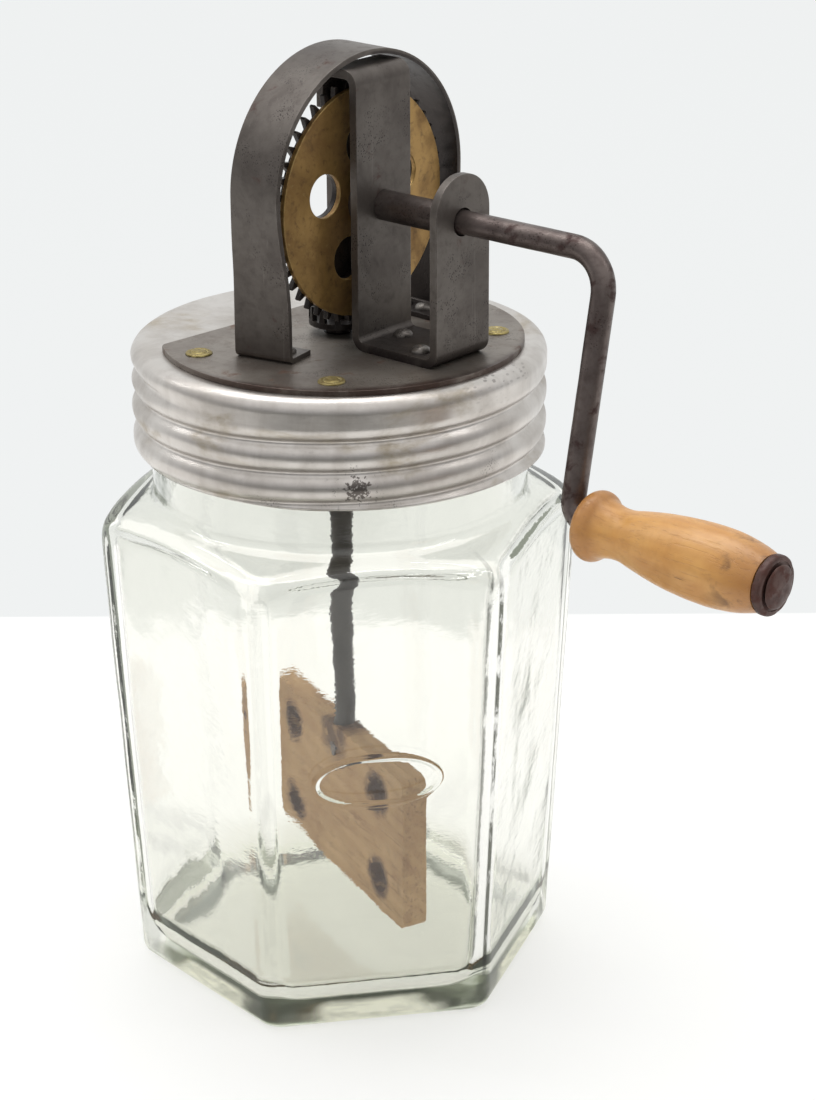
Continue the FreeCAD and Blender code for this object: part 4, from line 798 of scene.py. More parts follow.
@dataclass(frozen=True)
class WashedWood(LayeredFinish):
    """Bare board washed for years: pale brown, with dark burnt holes and a dark socket."""

    plain: Colour = srgb(206, 168, 120)
    deep: Colour = srgb(178, 135, 90)
    dark: Colour = srgb(122, 82, 48)
    burnt: Colour = srgb(96, 64, 42)
    roughness: float = 0.6
    specular: float = 0.3
    depth: float = 0.2 * MM
    board: Matrix = field(default_factory=Matrix)
    holes: tuple[Point, ...] = ()
    hole_radius: float = 5.0 * MM
    top: float = 75.5 * MM

    def place(self, sheet: ShaderSheet, layer: Layer = Layer(Kind.OWN)) -> Socket:
        """Return the board's own coordinates, with X along it."""
        return sheet.place(turn=self.board.inverted().to_euler())

    def around(self, sheet: ShaderSheet, centre: Point, reach: float) -> Socket:
        """Return a mask that is 1 at a hole's rim and fades outward.

        Args:
            sheet: The material's tree.
            centre: The hole's centre on the board, across and up.
            reach: How far out the mask fades to nothing.

        Returns:
            The mask.
        """
        parts = sheet.parts(self.place(sheet))
        across = sheet.math("SUBTRACT", parts[0], centre[0])
        up = sheet.math("SUBTRACT", parts[2], centre[1])
        return sheet.ramp(sheet.distance(across, up), reach, self.hole_radius)

    def burns(self, sheet: ShaderSheet, _: Effects) -> Socket:
        """Return the ragged mask of the burnt rims of the holes and the shaft's socket.

        Args:
            sheet: The material's tree.

        Returns:
            The mask.
        """
        socket = self.around(sheet, (0.0, self.top - 2 * MM), self.hole_radius * 2.4)
        burn = sheet.product(socket, 0.9)
        for centre in self.holes:
            burn = sheet.math("MAXIMUM", burn, self.around(sheet, centre, self.hole_radius * 1.7))
        return sheet.product(burn, sheet.ramp(sheet.cloud(self.place(sheet), 320.0, 4.0), 0.25, 0.5))

    def layers(self) -> tuple[Layer, ...]:
        """Return the board's patches, grain, stains and burns."""
        return (
            Layer(Kind.BLOTCHES, self.deep, 0.6, 45.0, low=0.36, high=0.68),
            Layer(Kind.BANDS, self.deep, 0.35, 95.0, relief=0.5),
            Layer(Kind.PORES, self.dark, 0.4, 0.8, rough=0.15, relief=-0.6),
            Layer(Kind.BLOTCHES, self.dark, 0.3, 120.0, low=0.56, high=0.72),
            Layer(Kind.OWN, self.burnt, made_by=self.burns),
            Layer(Kind.CLOUD, scale=160.0, relief=1.0),
        )


@dataclass(frozen=True)
class ClearGlass(Finish):
    """Pressed glass, greyish at its thick base, with fine ripples and painted dark refraction lines on some corners.

    A corner with a painted dark line is a number of sixths of a turn from the first one, and how dark its line is.
    """

    clear: Colour = (0.965, 0.966, 0.935)
    middle: Colour = srgb(242, 242, 235)
    base: Colour = srgb(237, 237, 226)
    heel_tint: Colour = srgb(222, 226, 208)
    # Colour of the painted dark refraction lines along the corners.
    painted_refraction_dark: Colour = srgb(38, 40, 32)
    lost_tint: Colour = srgb(128, 133, 120)
    lost_tint_low: Colour = srgb(222, 225, 212)
    shadow_tint: Colour = (0.93, 0.94, 0.92)
    foot_tint: Colour = (0.970, 0.968, 0.900)
    index: float = 1.5
    bounces: float = 2.5
    depth: float = 10.5
    tint_top: float = 20.0 * MM
    tint_middle: float = 9.0 * MM
    heel: float = 4.0 * MM
    lost_low: float = 22.0 * MM
    foot_top: float = 10.0 * MM
    foot_full: float = 7.8 * MM
    first_corner: float = math.radians(-8.5)
    corners: tuple[Point, ...] = ((0, 1.0), (1, 0.5), (-2, 0.5), (-1, 0.12))
    corner_reach: float = 72.0 * MM
    corner_half: float = 0.8 * MM
    line_foot: Point = (8.0 * MM, 18.0 * MM)
    line_head: Point = (150.0 * MM, 142.0 * MM)
    sixth: float = math.radians(60.0)
    relief: float = 0.2 * MM

    def heel_edge(self, sheet: ShaderSheet, up: Socket) -> Socket:
        """Return the mask of the rounded edge between the sides and the underside.

        Args:
            sheet: The material's tree.
            up: The height above the jar's underside.

        Returns:
            The mask.
        """
        facing = sheet.parts(sheet.add("NewGeometry").outputs["Normal"])[2]
        leaning = sheet.math("ABSOLUTE", sheet.math("ADD", sheet.math("ABSOLUTE", facing), -0.6))
        return sheet.product(sheet.ramp(leaning, 0.3, 0.12), sheet.ramp(up, self.heel, self.heel * 0.6))

    def pale_foot(self, sheet: ShaderSheet, parts: Sequence[Socket]) -> Socket:
        """Return the mask of the pale stretches of the thick foot, away from its corners.

        Args:
            sheet: The material's tree.
            parts: X, Y and Z of the jar's own coordinates.

        Returns:
            The mask.
        """
        around = sheet.math("SUBTRACT", sheet.math("ARCTAN2", parts[1], parts[0]), self.first_corner)
        off = sheet.plus(sheet.math("PINGPONG", around, self.sixth / 2), sheet.wander(sheet.place()), 1.0)
        away = sheet.ramp(off, math.radians(7.0), math.radians(15.0), 0.12, 1.0)
        streaks = sheet.ramp(sheet.cloud(sheet.place((1.0, 1.0, 6.0)), 70.0, 3.0), 0.35, 0.6, 0.72, 1.0)
        low = sheet.ramp(parts[2], self.foot_top, self.foot_full)
        return sheet.product(low, away, streaks)

    def painted_refraction_lines(self, sheet: ShaderSheet, up: Socket) -> Socket:
        """Return the mask of the painted dark refraction: thin ragged lines along some upright corners, standing in
        for the dark room seen through the glass.

        Args:
            sheet: The material's tree.
            up: The height above the jar's underside.

        Returns:
            The mask.
        """
        lines = 0.0
        for number, strength in self.corners:
            corner = self.first_corner + number * self.sixth
            own = sheet.parts(sheet.place(turn=(0.0, 0.0, -corner)))
            off = sheet.math("ABSOLUTE", sheet.math("ARCTAN2", own[1], own[0]))
            reach = sheet.product(off, self.corner_reach)
            line = sheet.ramp(reach, self.corner_half * 1.5, self.corner_half * 0.7, 0.0, strength)
            lines = sheet.math("MAXIMUM", lines, line)
        broken = sheet.ramp(sheet.cloud(sheet.place((1.0, 1.0, 0.4)), 230.0, 5.0, 0.7), 0.36, 0.5, 0.15)
        return sheet.product(lines, broken, sheet.ramp(up, *self.line_foot), sheet.ramp(up, *self.line_head))

    def glass(self, sheet: ShaderSheet, effects: Effects, up: Socket) -> Socket:
        """Return the glass itself.

        Args:
            sheet: The material's tree.
            effects: The shared effects.
            up: The height above the jar's underside.

        Returns:
            The shader's socket.
        """
        smears = effects.blotches.use(sheet, Vector=sheet.place(), Scale=25.0, Low=0.5, High=0.75)["Mask"]
        colour = sheet.blend(sheet.ramp(up, self.tint_top, self.tint_middle), self.clear, self.middle)
        colour = sheet.blend(sheet.ramp(up, self.tint_middle, 0.0), colour, self.base)
        colour = sheet.blend(self.heel_edge(sheet, up), colour, self.heel_tint)
        # Painted dark refraction: dark lines along some corners stand in for the dark room seen through the glass.
        colour = sheet.blend(self.painted_refraction_lines(sheet, up), colour, self.painted_refraction_dark)
        rough = sheet.plus(sheet.ramp(up, 10 * MM, 3 * MM, 0.0, 0.12), smears, 0.02)
        ripple = sheet.cloud(sheet.place((1.0, 1.0, 2.2)), 260.0, 3.0, 0.6)
        relief = sheet.plus(sheet.cloud(sheet.place(), 55.0, 2.0), ripple, 0.16)
        return sheet.add("BsdfPrincipled", {
            "Base Color": colour, "Roughness": rough, "IOR": self.index, "Transmission Weight": 1.0,
            "Metallic": 0.0, "Normal": sheet.bump(relief, self.relief),
        }).outputs[0]

    def shader(self, sheet: ShaderSheet, effects: Effects) -> Socket:
        """Return the glass with the shortcuts of its light.

        A ray that has turned back and forth inside the wall too often leaves it straight, and so does a shadow ray.
        The thick foot shows the pale floor under it, away from its corners.

        Args:
            sheet: The material's tree.
            effects: The shared effects.

        Returns:
            The shader's socket.
        """
        parts = sheet.parts(sheet.place())
        path = sheet.add("LightPath").outputs
        low = sheet.ramp(parts[2], self.lost_low, self.lost_low * 0.6)
        tint = sheet.blend(low, self.lost_tint, self.lost_tint_low)
        tint = sheet.blend(path["Is Shadow Ray"], tint, self.shadow_tint)
        straight = path["Is Shadow Ray"]
        for count, limit in (("Glossy Depth", self.bounces), ("Ray Depth", self.depth)):
            straight = sheet.math("MAXIMUM", straight, sheet.math("GREATER_THAN", path[count], limit))
        mixed = sheet.through(straight, self.glass(sheet, effects, parts[2]), tint)
        foot = sheet.product(self.pale_foot(sheet, parts), path["Is Camera Ray"])
        return sheet.through(foot, mixed, self.foot_tint)


# Shapes


def shares(steps: int, first: int = 1) -> list[float]:
    """Return the shares of a way in even steps, up to the whole of it."""
    return [step / steps for step in range(first, steps + 1)]


def eased(share: float) -> float:
    """Return a share held between 0 and 1, with a soft start and end."""
    share = min(max(share, 0.0), 1.0)
    return share * share * (3 - 2 * share)


def noisy(point: Vector, *swells: Point) -> float:
    """Return smooth noise at a point, of swells that each have a number in a metre and a depth."""
    return sum(noise.noise(point * scale) * depth for scale, depth in swells)


def arc_points(start: Point, end: Point, radius: float, turn: int, steps: int) -> list[Point]:
    """Return points along the shorter arc between two points, without the first.

    Args:
        start: Where the arc starts.
        end: Where it ends.
        radius: The arc's radius.
        turn: 1 for an arc that turns left, -1 for one that turns right.
        steps: How many points are returned.

    Returns:
        The points, with the end as the last one.
    """
    first, last = Vector(start), Vector(end)
    chord = last - first
    half = chord.length / 2
    rise = math.sqrt(max(radius * radius - half * half, 0.0))
    centre = (first + last) / 2 + Vector((-chord.y, chord.x)).normalized() * rise * turn
    begin = math.atan2(first.y - centre.y, first.x - centre.x)
    sweep = math.atan2(last.y - centre.y, last.x - centre.x) - begin
    sweep = (sweep + math.pi) % (2 * math.pi) - math.pi
    return [
        (centre.x + radius * math.cos(begin + sweep * step / steps),
         centre.y + radius * math.sin(begin + sweep * step / steps))
        for step in range(1, steps + 1)
    ]


def turned(profile: Sequence[Point], steps: int, closed: bool) -> Mesh:
    """Spin a profile of radius and height around Z.

    Args:
        profile: The points, as radius and height.
        steps: How many steps there are in the full turn.
        closed: Whether the last point is joined to the first.

    Returns:
        The mesh, with its doubles merged and its faces outward.
    """
    bm = bmesh.new()
    points = [bm.verts.new((radius, 0.0, height)) for radius, height in profile]
    edges = [bm.edges.new(pair) for pair in zip(points, points[1:])]
    if closed:
        edges.append(bm.edges.new((points[-1], points[0])))
    bmesh.ops.spin(
        bm, geom=points + edges, cent=(0, 0, 0), axis=(0, 0, 1), angle=2 * math.pi, steps=steps,
        use_merge=True,
    )
    bmesh.ops.remove_doubles(bm, verts=bm.verts, dist=1e-7)
    bmesh.ops.recalc_face_normals(bm, faces=bm.faces)
    return bm


def lofted(rings: Sequence[Sequence[Vector]]) -> Mesh:
    """Extrude a closed ring from place to place and close both of its ends.

    Args:
        rings: The points of each ring, as many in each and in the same order.

    Returns:
        The mesh, with its faces outward. Its points are in the order of the rings.
    """
    bm = bmesh.new()
    bmesh.ops.create_circle(bm, cap_ends=True, segments=len(rings[0]), radius=MM)
    loop = sorted(bm.verts, key=lambda vert: math.atan2(vert.co.y, vert.co.x) % (2 * math.pi))
    edges = list(bm.edges)
    for number, ring in enumerate(rings):
        if number:
            grown = bmesh.ops.extrude_edge_only(bm, edges=edges)["geom"]
            edges = [item for item in grown if isinstance(item, bmesh.types.BMEdge)]
            fresh = {item for item in grown if isinstance(item, bmesh.types.BMVert)}
            loop = [
                next(edge.other_vert(vert) for edge in vert.link_edges if edge.other_vert(vert) in fresh)
                for vert in loop
            ]
        for vert, point in zip(loop, ring):
            vert.co = point
    bmesh.ops.contextual_create(bm, geom=edges)
    bmesh.ops.recalc_face_normals(bm, faces=bm.faces)
    return bm


def roughen(bm: Mesh, scale: float, depth: float, seed: float) -> None:
    """Push a mesh's points in and out along their normals by smooth noise.

    Args:
        bm: The mesh.
        scale: How many swells there are in a metre.
        depth: The greatest move.
        seed: Where in the noise the piece lies.
    """
    bm.normal_update()
    for vert in bm.verts:
        swell = noise.noise(vert.co * scale + Vector((seed, seed * 0.7, -seed)))
        vert.co += vert.normal * swell * depth


def dent(bm: Mesh, swell: Point, where: Callable[[Vector], bool]) -> None:
    """Press a mesh's points in along their normals by smooth noise.

    Args:
        bm: The mesh.
        swell: How many dents there are in a metre, and the greatest move.
        where: Whether a point is pressed in.
    """
    bm.normal_update()
    for vert in bm.verts:
        if where(vert.co):
            vert.co += vert.normal * min(noisy(vert.co, swell), 0.0)


def dome(radius: float, foot: float, rise: float, steps: int) -> list[Point]:
    """Return the outline of a round dome as radius and height, without its lowest point."""
    angles = [QUARTER * share for share in shares(steps)]
    return [(max(radius * math.cos(angle), 0.0), foot + rise * math.sin(angle)) for angle in angles]


def soften(bm: Mesh, sharp_degrees: float) -> None:
    """Shade a mesh smooth, apart from its sharp edges.

    Args:
        bm: The mesh.
        sharp_degrees: The angle between two faces past which their edge stays sharp.
    """
    limit = math.radians(sharp_degrees)
    for face in bm.faces:
        face.smooth = True
    for edge in bm.edges:
        edge.smooth = not (edge.is_manifold and edge.calc_face_angle(0.0) > limit)


def modify(piece: bpy.types.Object, name: str, kind: str, **settings: object) -> None:
    """Give a piece a modifier.

    Args:
        piece: The piece.
        name: The modifier's name.
        kind: The modifier's type.
        settings: Values of the modifier's own settings.
    """
    modifier = piece.modifiers.new(name, kind)
    for setting, value in settings.items():
        setattr(modifier, setting, value)


@dataclass(kw_only=True)
class SubAssembly:
    """A group of pieces that are made and dressed together.

    It takes the frame's nodes by name, and the material of each look.
    """

    title: ClassVar[str]
    body: ClassVar[str]
    sharp_degrees: ClassVar[float] = 28.0
    nodes: dict[str, bpy.types.Object]
    finishes: dict[Look, bpy.types.Material]

    def settle(self, bm: Mesh, node: str, look: Look, sharp_degrees: float) -> bpy.types.Object:
        """Turn a mesh into a finished piece that rides on the body.

        Args:
            bm: The mesh, which is used up.
            node: The node that the piece stands for.
            look: The look that it is given.
            sharp_degrees: The angle past which an edge stays sharp.

        Returns:
            The new object.
        """
        soften(bm, sharp_degrees)
        name = f"{node}_piece"
        mesh = bpy.data.meshes.new(name)
        bm.to_mesh(mesh)
        bm.free()
        mesh.materials.append(self.finishes[look])
        piece = bpy.data.objects.new(name, mesh)
        bpy.context.scene.collection.objects.link(piece)
        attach(piece, self.body)
        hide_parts(node)
        LOG.info("%s: made %s with %d faces", self.title, name, len(mesh.polygons))
        return piece

    def dress(self, node: str, look: Look) -> None:
        """Give a node that stays as it is a better look.

        Args:
            node: The node's name.
            look: The look that it is given.
        """
        target = self.nodes[node]
        for place in target.material_slots:
            place.material = self.finishes[look]
        if not target.material_slots:
            target.data.materials.append(self.finishes[look])
        LOG.info("%s: dressed %s", self.title, node)

    def merged_copy(self, node: str) -> Mesh:
        """Return a node's mesh with its loose triangles joined into whole flat faces.

        Args:
            node: The node's name.

        Returns:
            The mesh.
        """
        bm = bmesh.new()
        bm.from_mesh(self.nodes[node].data)
        bmesh.ops.remove_doubles(bm, verts=bm.verts, dist=2e-6)
        bmesh.ops.dissolve_limit(
            bm, angle_limit=math.radians(0.6), use_dissolve_boundaries=False, verts=bm.verts, edges=bm.edges,
            delimit={"NORMAL"},
        )
        return bm

    def refined(self, node: str, look: Look, edge: float, segments: int = 3,
                change: Callable[[Mesh], None] | None = None) -> None:
        """Make a piece from a node's own shape, with its sharp edges rounded.

        Args:
            node: The node that the piece stands for.
            look: The look that it is given.
            edge: How wide the rounding is.
            segments: How many faces the rounding has.
            change: What bends the shape first, if anything does.
        """
        bm = self.merged_copy(node)
        if change:
            change(bm)
        piece = self.settle(bm, node, look, self.sharp_degrees)
        modify(
            piece, "rounded_edges", "BEVEL", width=edge, segments=segments, limit_method="ANGLE",
            angle_limit=math.radians(self.sharp_degrees), harden_normals=False, use_clamp_overlap=True,
            miter_outer="MITER_ARC",
        )
        modify(piece, "flat_faces", "WEIGHTED_NORMAL", keep_sharp=False, weight=100)


@dataclass
class Jar(SubAssembly):
    """The six-sided glass jar with its domed shoulder, neck, beads and raised oval."""

    title = "jar"
    body = "jar"
    sides: int = 6
    base_corner: float = 66.8 * MM
    taper: float = math.radians(3.2)
    turn: float = math.radians(51.5)
    corner_round: float = 7.0 * MM
    wall: float = 4.5 * MM
    floor: float = 5.5 * MM
    heel_round: float = 4.0 * MM
    inner_round: float = 9.0 * MM
    inner_heel: float = 13.0 * MM
    shoulder: float = 74.9 * MM
    shoulder_level: float = 141.2 * MM
    shoulder_round: float = 9.5 * MM
    slope: float = math.radians(22.0)
    neck: float = 57.0 * MM
    neck_round: float = 3.0 * MM
    mouth: float = 200.3 * MM
    rim: float = 1.6 * MM
    bead_reach: float = 2.0 * MM
    bead_round: float = 2.4 * MM
    bead_levels: tuple[float, ...] = (188.89 * MM, 179.89 * MM)
    oval_level: float = 84.0 * MM
    oval_width: float = 40.0 * MM
    oval_height: float = 18.0 * MM
    oval_band: float = 2.4 * MM
    oval_rise: float = 0.7 * MM
    oval_margin: float = 2.5 * MM
    oval_middle: float = 0.2
    oval_near: float = 2.0 * MM
    corner_half: float = math.radians(4.6)
    corner_steps: int = 12
    side_steps: int = 26
    wall_steps: int = 46
    neck_steps: int = 44
    swells: tuple[Triple, ...] = ((42.0, 0.16 * MM, 3.0), (110.0, 0.05 * MM, 9.0))
    outer_soft: float = 3.0 * MM
    inner_soft: float = 6.5 * MM
    underside: tuple[Point, ...] = (
        (0.06, 1.3), (0.2, 1.25), (0.4, 1.1), (0.6, 0.8), (0.76, 0.4), (0.86, 0.08), (0.92, 0.0),
    )
    inner_floor: tuple[Point, ...] = ((0.9, 0.1), (0.75, 0.3), (0.55, 0.5), (0.35, 0.6), (0.15, 0.6), (0.05, 0.6))

    def directions(self) -> list[float]:
        """Return the angles of one ring's points, closer together at the corners.

        Returns:
            The angles about Z.
        """
        span = FULL / self.sides
        gap = span - 2 * self.corner_half
        offs = [self.corner_half * (2 * step / self.corner_steps - 1) for step in range(self.corner_steps)]
        offs += [self.corner_half + gap * step / self.side_steps for step in range(self.side_steps)]
        return [self.turn + side * span + off for side in range(self.sides) for off in offs]

    def side_radius(self, angle: float, level: float, wall: float, rounding: float) -> float:
        """Return how far out the six sides are in one direction.

        Args:
            angle: The direction about Z.
            level: The height.
            wall: How far inside the outer face the wanted face lies.
            rounding: The radius of its upright corners.

        Returns:
            The radius.
        """
        half = math.pi / self.sides
        corner = self.base_corner + math.tan(self.taper) * level - wall / math.cos(half)
        off = (angle - self.turn + half) % (2 * half) - half
        centre = corner - rounding / math.cos(half)
        touch = math.atan2(rounding * math.sin(half), centre + rounding * math.cos(half))
        if abs(off) < touch:
            return centre * math.cos(off) + math.sqrt(rounding ** 2 - (centre * math.sin(off)) ** 2)
        return corner * math.cos(half) / math.cos(half - abs(off))

    def dome_line(self, wall: float) -> list[Point]:
        """Return the turned envelope of shoulder and neck as radius and height.

        Args:
            wall: How far inside the outer face the wanted face lies.

        Returns:
            The points from the top of the sides up to the neck.
        """
        centre = self.shoulder - self.shoulder_round
        rounding = self.shoulder_round - wall
        level = self.shoulder_level
        bore = self.neck - wall
        drop = self.neck_round + wall
        steep = QUARTER - self.slope
        angles = [steep * share for share in shares(10, 0)]
        points = [(centre + rounding * math.cos(angle), level + rounding * math.sin(angle)) for angle in angles]
        edge, height = points[-1]
        meet = height + (edge - bore) * math.tan(self.slope)
        reach = drop * math.tan(steep / 2)
        low = (bore + reach * math.cos(self.slope), meet - reach * math.sin(self.slope))
        high = (bore, meet + reach)
        points += [(edge + (low[0] - edge) * share, height + (low[1] - height) * share) for share in shares(8)]
        return points + arc_points(low, high, drop, -1, 8)

    def neck_line(self, start: float) -> list[Point]:
        """Return the outside of the neck with its two beads and its rounded rim.

        Args:
            start: How high the neck starts.

        Returns:
            The points as radius and height, up to the rim's inner side.
        """
        top = self.mouth - self.rim
        points = []
        for height in [start + (top - start) * share for share in shares(self.neck_steps)]:
            radius = self.neck
            for off in [abs(height - level) for level in self.bead_levels]:
                if off < self.bead_round:
                    bulge = self.bead_reach - self.bead_round + math.sqrt(self.bead_round ** 2 - off ** 2)
                    radius = max(radius, self.neck + bulge)
            points.append((radius, height))
        inner = self.neck - self.wall
        points += arc_points((self.neck, top), (self.neck - self.rim, self.mouth), self.rim, 1, 5)
        points.append((inner + self.rim, self.mouth))
        points += arc_points((inner + self.rim, self.mouth), (inner, top), self.rim, 1, 5)
        return points

    def outer(self, level: float, inset: float = 0.0) -> list[float]:
        """Return the radii of the outer face at a height, all round."""
        return [self.side_radius(angle, level, inset, self.corner_round) for angle in self.directions()]

    def inner(self, level: float, inset: float = 0.0) -> list[float]:
        """Return the radii of the inner face at a height, all round."""
        wall, rounding = self.wall + inset, self.inner_round
        return [self.side_radius(angle, level, wall, rounding) for angle in self.directions()]

    def capped(self, radii: list[float], cap: float, soft: float) -> list[float]:
        """Return radii that don't go past a cap, with a soft change between the two.

        Args:
            radii: The radii of a ring.
            cap: The largest radius.
            soft: How wide the change is.

        Returns:
            The new radii.
        """
        mixes = [min(max(0.5 + 0.5 * (cap - side) / soft, 0.0), 1.0) for side in radii]
        return [cap * (1 - mix) + side * mix - soft * mix * (1 - mix) for side, mix in zip(radii, mixes)]

    def rings(self) -> list[tuple[list[float], float]]:
        """Return each ring of the glass, from the underside's middle round to the inner floor's.

        Returns:
            For each ring its radii all round, and its height.
        """
        high, low = self.shoulder_level, self.heel_round
        rings = [([radius * share for radius in self.outer(0.0)], level * MM) for share, level in self.underside]
        for angle in [QUARTER * share for share in shares(6, 0)]:
            level = low * (1 - math.cos(angle))
            rings.append((self.outer(level, low * (1 - math.sin(angle))), level))
        line = [(self.shoulder, low + (high - low) * share) for share in shares(self.wall_steps)[:-1]]
        line += self.dome_line(0.0)
        rings += [(self.capped(self.outer(level), cap, self.outer_soft), level) for cap, level in line]
        inside = self.dome_line(self.wall)
        bore, top = self.neck - self.wall, self.mouth - self.rim
        line = self.neck_line(line[-1][1])
        line += [(bore, top + (inside[-1][1] - top) * share) for share in shares(12)[:-1]]
        rings += [([radius] * len(self.directions()), level) for radius, level in line]
        low, cap = self.floor + self.inner_heel, self.shoulder - self.wall
        line = inside[::-1] + [(cap, high + (low - high) * share) for share in shares(self.wall_steps)[:-1]]
        rings += [(self.capped(self.inner(level), cap, self.inner_soft), level) for cap, level in line]
        for angle in [QUARTER * share for share in shares(8, 0)]:
            level = low - self.inner_heel * math.sin(angle)
            rings.append((self.inner(level, self.inner_heel * (1 - math.cos(angle))), level))
        floor = self.inner(self.floor, self.inner_heel)
        rings += [
            ([radius * share for radius in floor], self.floor + level * MM) for share, level in self.inner_floor
        ]
        return rings

    def raise_oval(self, bm: Mesh) -> None:
        """Raise the plain oval band on the face that looks at the viewer.

        Args:
            bm: The jar's mesh.
        """
        toward = Matrix.Rotation(self.turn - QUARTER, 3, "Z")
        outward, across = toward.col[0].copy(), toward.col[1].copy()
        corner = self.base_corner + math.tan(self.taper) * self.oval_level
        plane = corner * math.cos(math.pi / self.sides)
        wide, tall = self.oval_width / 2, self.oval_height / 2

        def near(point: Vector) -> bool:
            """Return whether a point is on the outer face, in or around the oval."""
            beside = abs(point.dot(across)) - wide, abs(point.z - self.oval_level) - tall
            return abs(point.dot(outward) - plane) < self.oval_near and max(beside) < self.oval_margin

        edges = {edge for face in bm.faces if near(face.calc_center_median()) for edge in face.edges}
        bmesh.ops.subdivide_edges(bm, edges=list(edges), cuts=5, use_grid_fill=True)
        bm.normal_update()
        for vert in bm.verts:
            if not near(vert.co):
                continue
            side, up = vert.co.dot(across), vert.co.z - self.oval_level
            reach = math.hypot(side / wide, up / tall)
            if reach >= self.oval_middle:
                # Distance from the oval's outer line, measured along the ray from its centre.
                edge = math.hypot(side, up) * (1 / reach - 1)
                share = min(max(edge / self.oval_band, 0.0), 1.0)
                vert.co += outward * self.oval_rise * math.sin(math.pi * share) ** 0.8

    def build(self) -> None:
        """Make the glass from rings that are extruded one after another."""
        angles = self.directions()
        bm = lofted([
            [Vector((radius * math.cos(angle), radius * math.sin(angle), level))
             for angle, radius in zip(angles, radii)]
            for radii, level in self.rings()
        ])
        for swell in self.swells:
            roughen(bm, *swell)
        self.raise_oval(bm)
        for vert in bm.verts:
            vert.co.z = max(vert.co.z, 0.0)
        self.settle(bm, "glass_jar", Look.CLEAR_GLASS, 60.0)


@dataclass
class Cap(SubAssembly):
    """The thin aluminium screw cap with its rolled thread, and the seal."""

    title = "cap"
    body = "lid"
    radius: float = 62.5 * MM
    top: float = 202.4 * MM
    lip: float = 169.5 * MM
    sheet: float = 0.9 * MM
    shoulder: float = 4.5 * MM
    bore: float = 4.7 * MM
    ring_half: float = 3.6 * MM
    notch_half: float = 0.9 * MM
    wave: float = math.radians(50.0)
    groove_start: float = math.radians(-79.0)
    groove_fade: float = 0.16
    groove_line: tuple[Point, ...] = (
        (-0.1, 195.6), (0.0, 195.4), (0.1, 195.1), (0.16, 194.6), (0.4, 193.0), (0.67, 191.1), (0.92, 189.1),
        (1.16, 187.3), (1.4, 184.6), (1.67, 181.8), (1.92, 179.9), (2.16, 178.3), (2.4, 175.6), (2.67, 172.8),
        (2.92, 170.8), (3.16, 168.6), (4.2, 159.0),
    )
    bent_rim: float = 6.0 * MM
    swells: tuple[Point, ...] = ((38.0, 0.22 * MM), (120.0, 0.05 * MM))
    uneven: Point = (30.0, 0.22 * MM)
    inset: float = 0.12 * MM
    wall_steps: int = 84
    steps: int = 288

    def profile(self) -> list[Point]:
        """Return the outside of the cap before its thread is rolled.

        Returns:
            The points as radius and height, from the bore down to the lip.
        """
        edge, start = self.radius - self.shoulder, self.top - self.shoulder
        points = [(self.bore + (edge - self.bore) * share, self.top) for share in shares(14, 0)[:-1]]
        for angle in [QUARTER * (1 - share) for share in shares(12, 0)]:
            points.append((edge + self.shoulder * math.cos(angle), start + self.shoulder * math.sin(angle)))
        return points + [(self.radius, start + (self.lip - start) * share) for share in shares(self.wall_steps)]

    def groove_level(self, turns: float) -> float:
        """Return how high the groove's middle is, so many turns down from its start.

        Args:
            turns: The turns down from its start.

        Returns:
            The height.
        """
        line = self.groove_line
        for (first, high), (last, low) in zip(line, line[1:]):
            if turns <= last:
                share = (turns - first) / (last - first)
                return (high + (low - high) * share) * MM
        return line[-1][1] * MM

    def groove_depth(self, off: float) -> float:
        """Return how deep the sheet is pressed in at a distance from the groove's middle.

        Args:
            off: The distance from the groove's middle.

        Returns:
            The depth.
        """
        ring = self.ring_half / math.sin(self.wave)
        notch = self.notch_half / math.sin(self.wave)
        if off < self.notch_half:
            return (ring + notch) * (1 - math.cos(self.wave)) - notch + math.sqrt(notch ** 2 - off ** 2)
        from_middle = max(self.ring_half + self.notch_half - off, 0.0)
        return ring - math.sqrt(ring ** 2 - from_middle ** 2)

    def pressed(self, point: Vector) -> float:
        """Return how far the thread presses the wall in at a point.

        Args:
            point: The point on the plain wall.

        Returns:
            The depth.
        """
        around = ((self.groove_start - math.atan2(point.y, point.x)) / FULL) % 1.0
        depth = 0.0
        for turns in [around + number for number in range(-1, 4)]:
            if turns >= self.groove_line[0][0]:
                off = abs(point.z - self.groove_level(turns))
                depth += eased(turns / self.groove_fade) * self.groove_depth(off)
        return depth * min((self.top - point.z) / self.shoulder, 1.0)

    def build(self) -> None:
        """Spin the cap, roll its thread, dent it a little, and give the sheet its thickness."""
        bm = turned(self.profile(), self.steps, False)
        bm.normal_update()
        if sum(face.normal.z for face in bm.faces if face.calc_center_median().z > self.top - 1e-5) < 0:
            bmesh.ops.reverse_faces(bm, faces=bm.faces)
        for vert in bm.verts:
            if vert.co.xy.length >= self.radius - self.bent_rim:
                outward = Vector((vert.co.x, vert.co.y, 0)).normalized()
                vert.co += outward * (noisy(vert.co, *self.swells) - self.inset - self.pressed(vert.co))
                scale, depth = self.uneven
                vert.co.z += noise.noise(Vector((vert.co.x * scale, vert.co.y * scale, 4.0))) * depth
        piece = self.settle(bm, "screw_cap", Look.WORN_ALUMINIUM, 50.0)
        modify(piece, "sheet", "SOLIDIFY", thickness=self.sheet, offset=-1.0)
        self.dress("lid_seal", Look.SEAL_RUBBER)


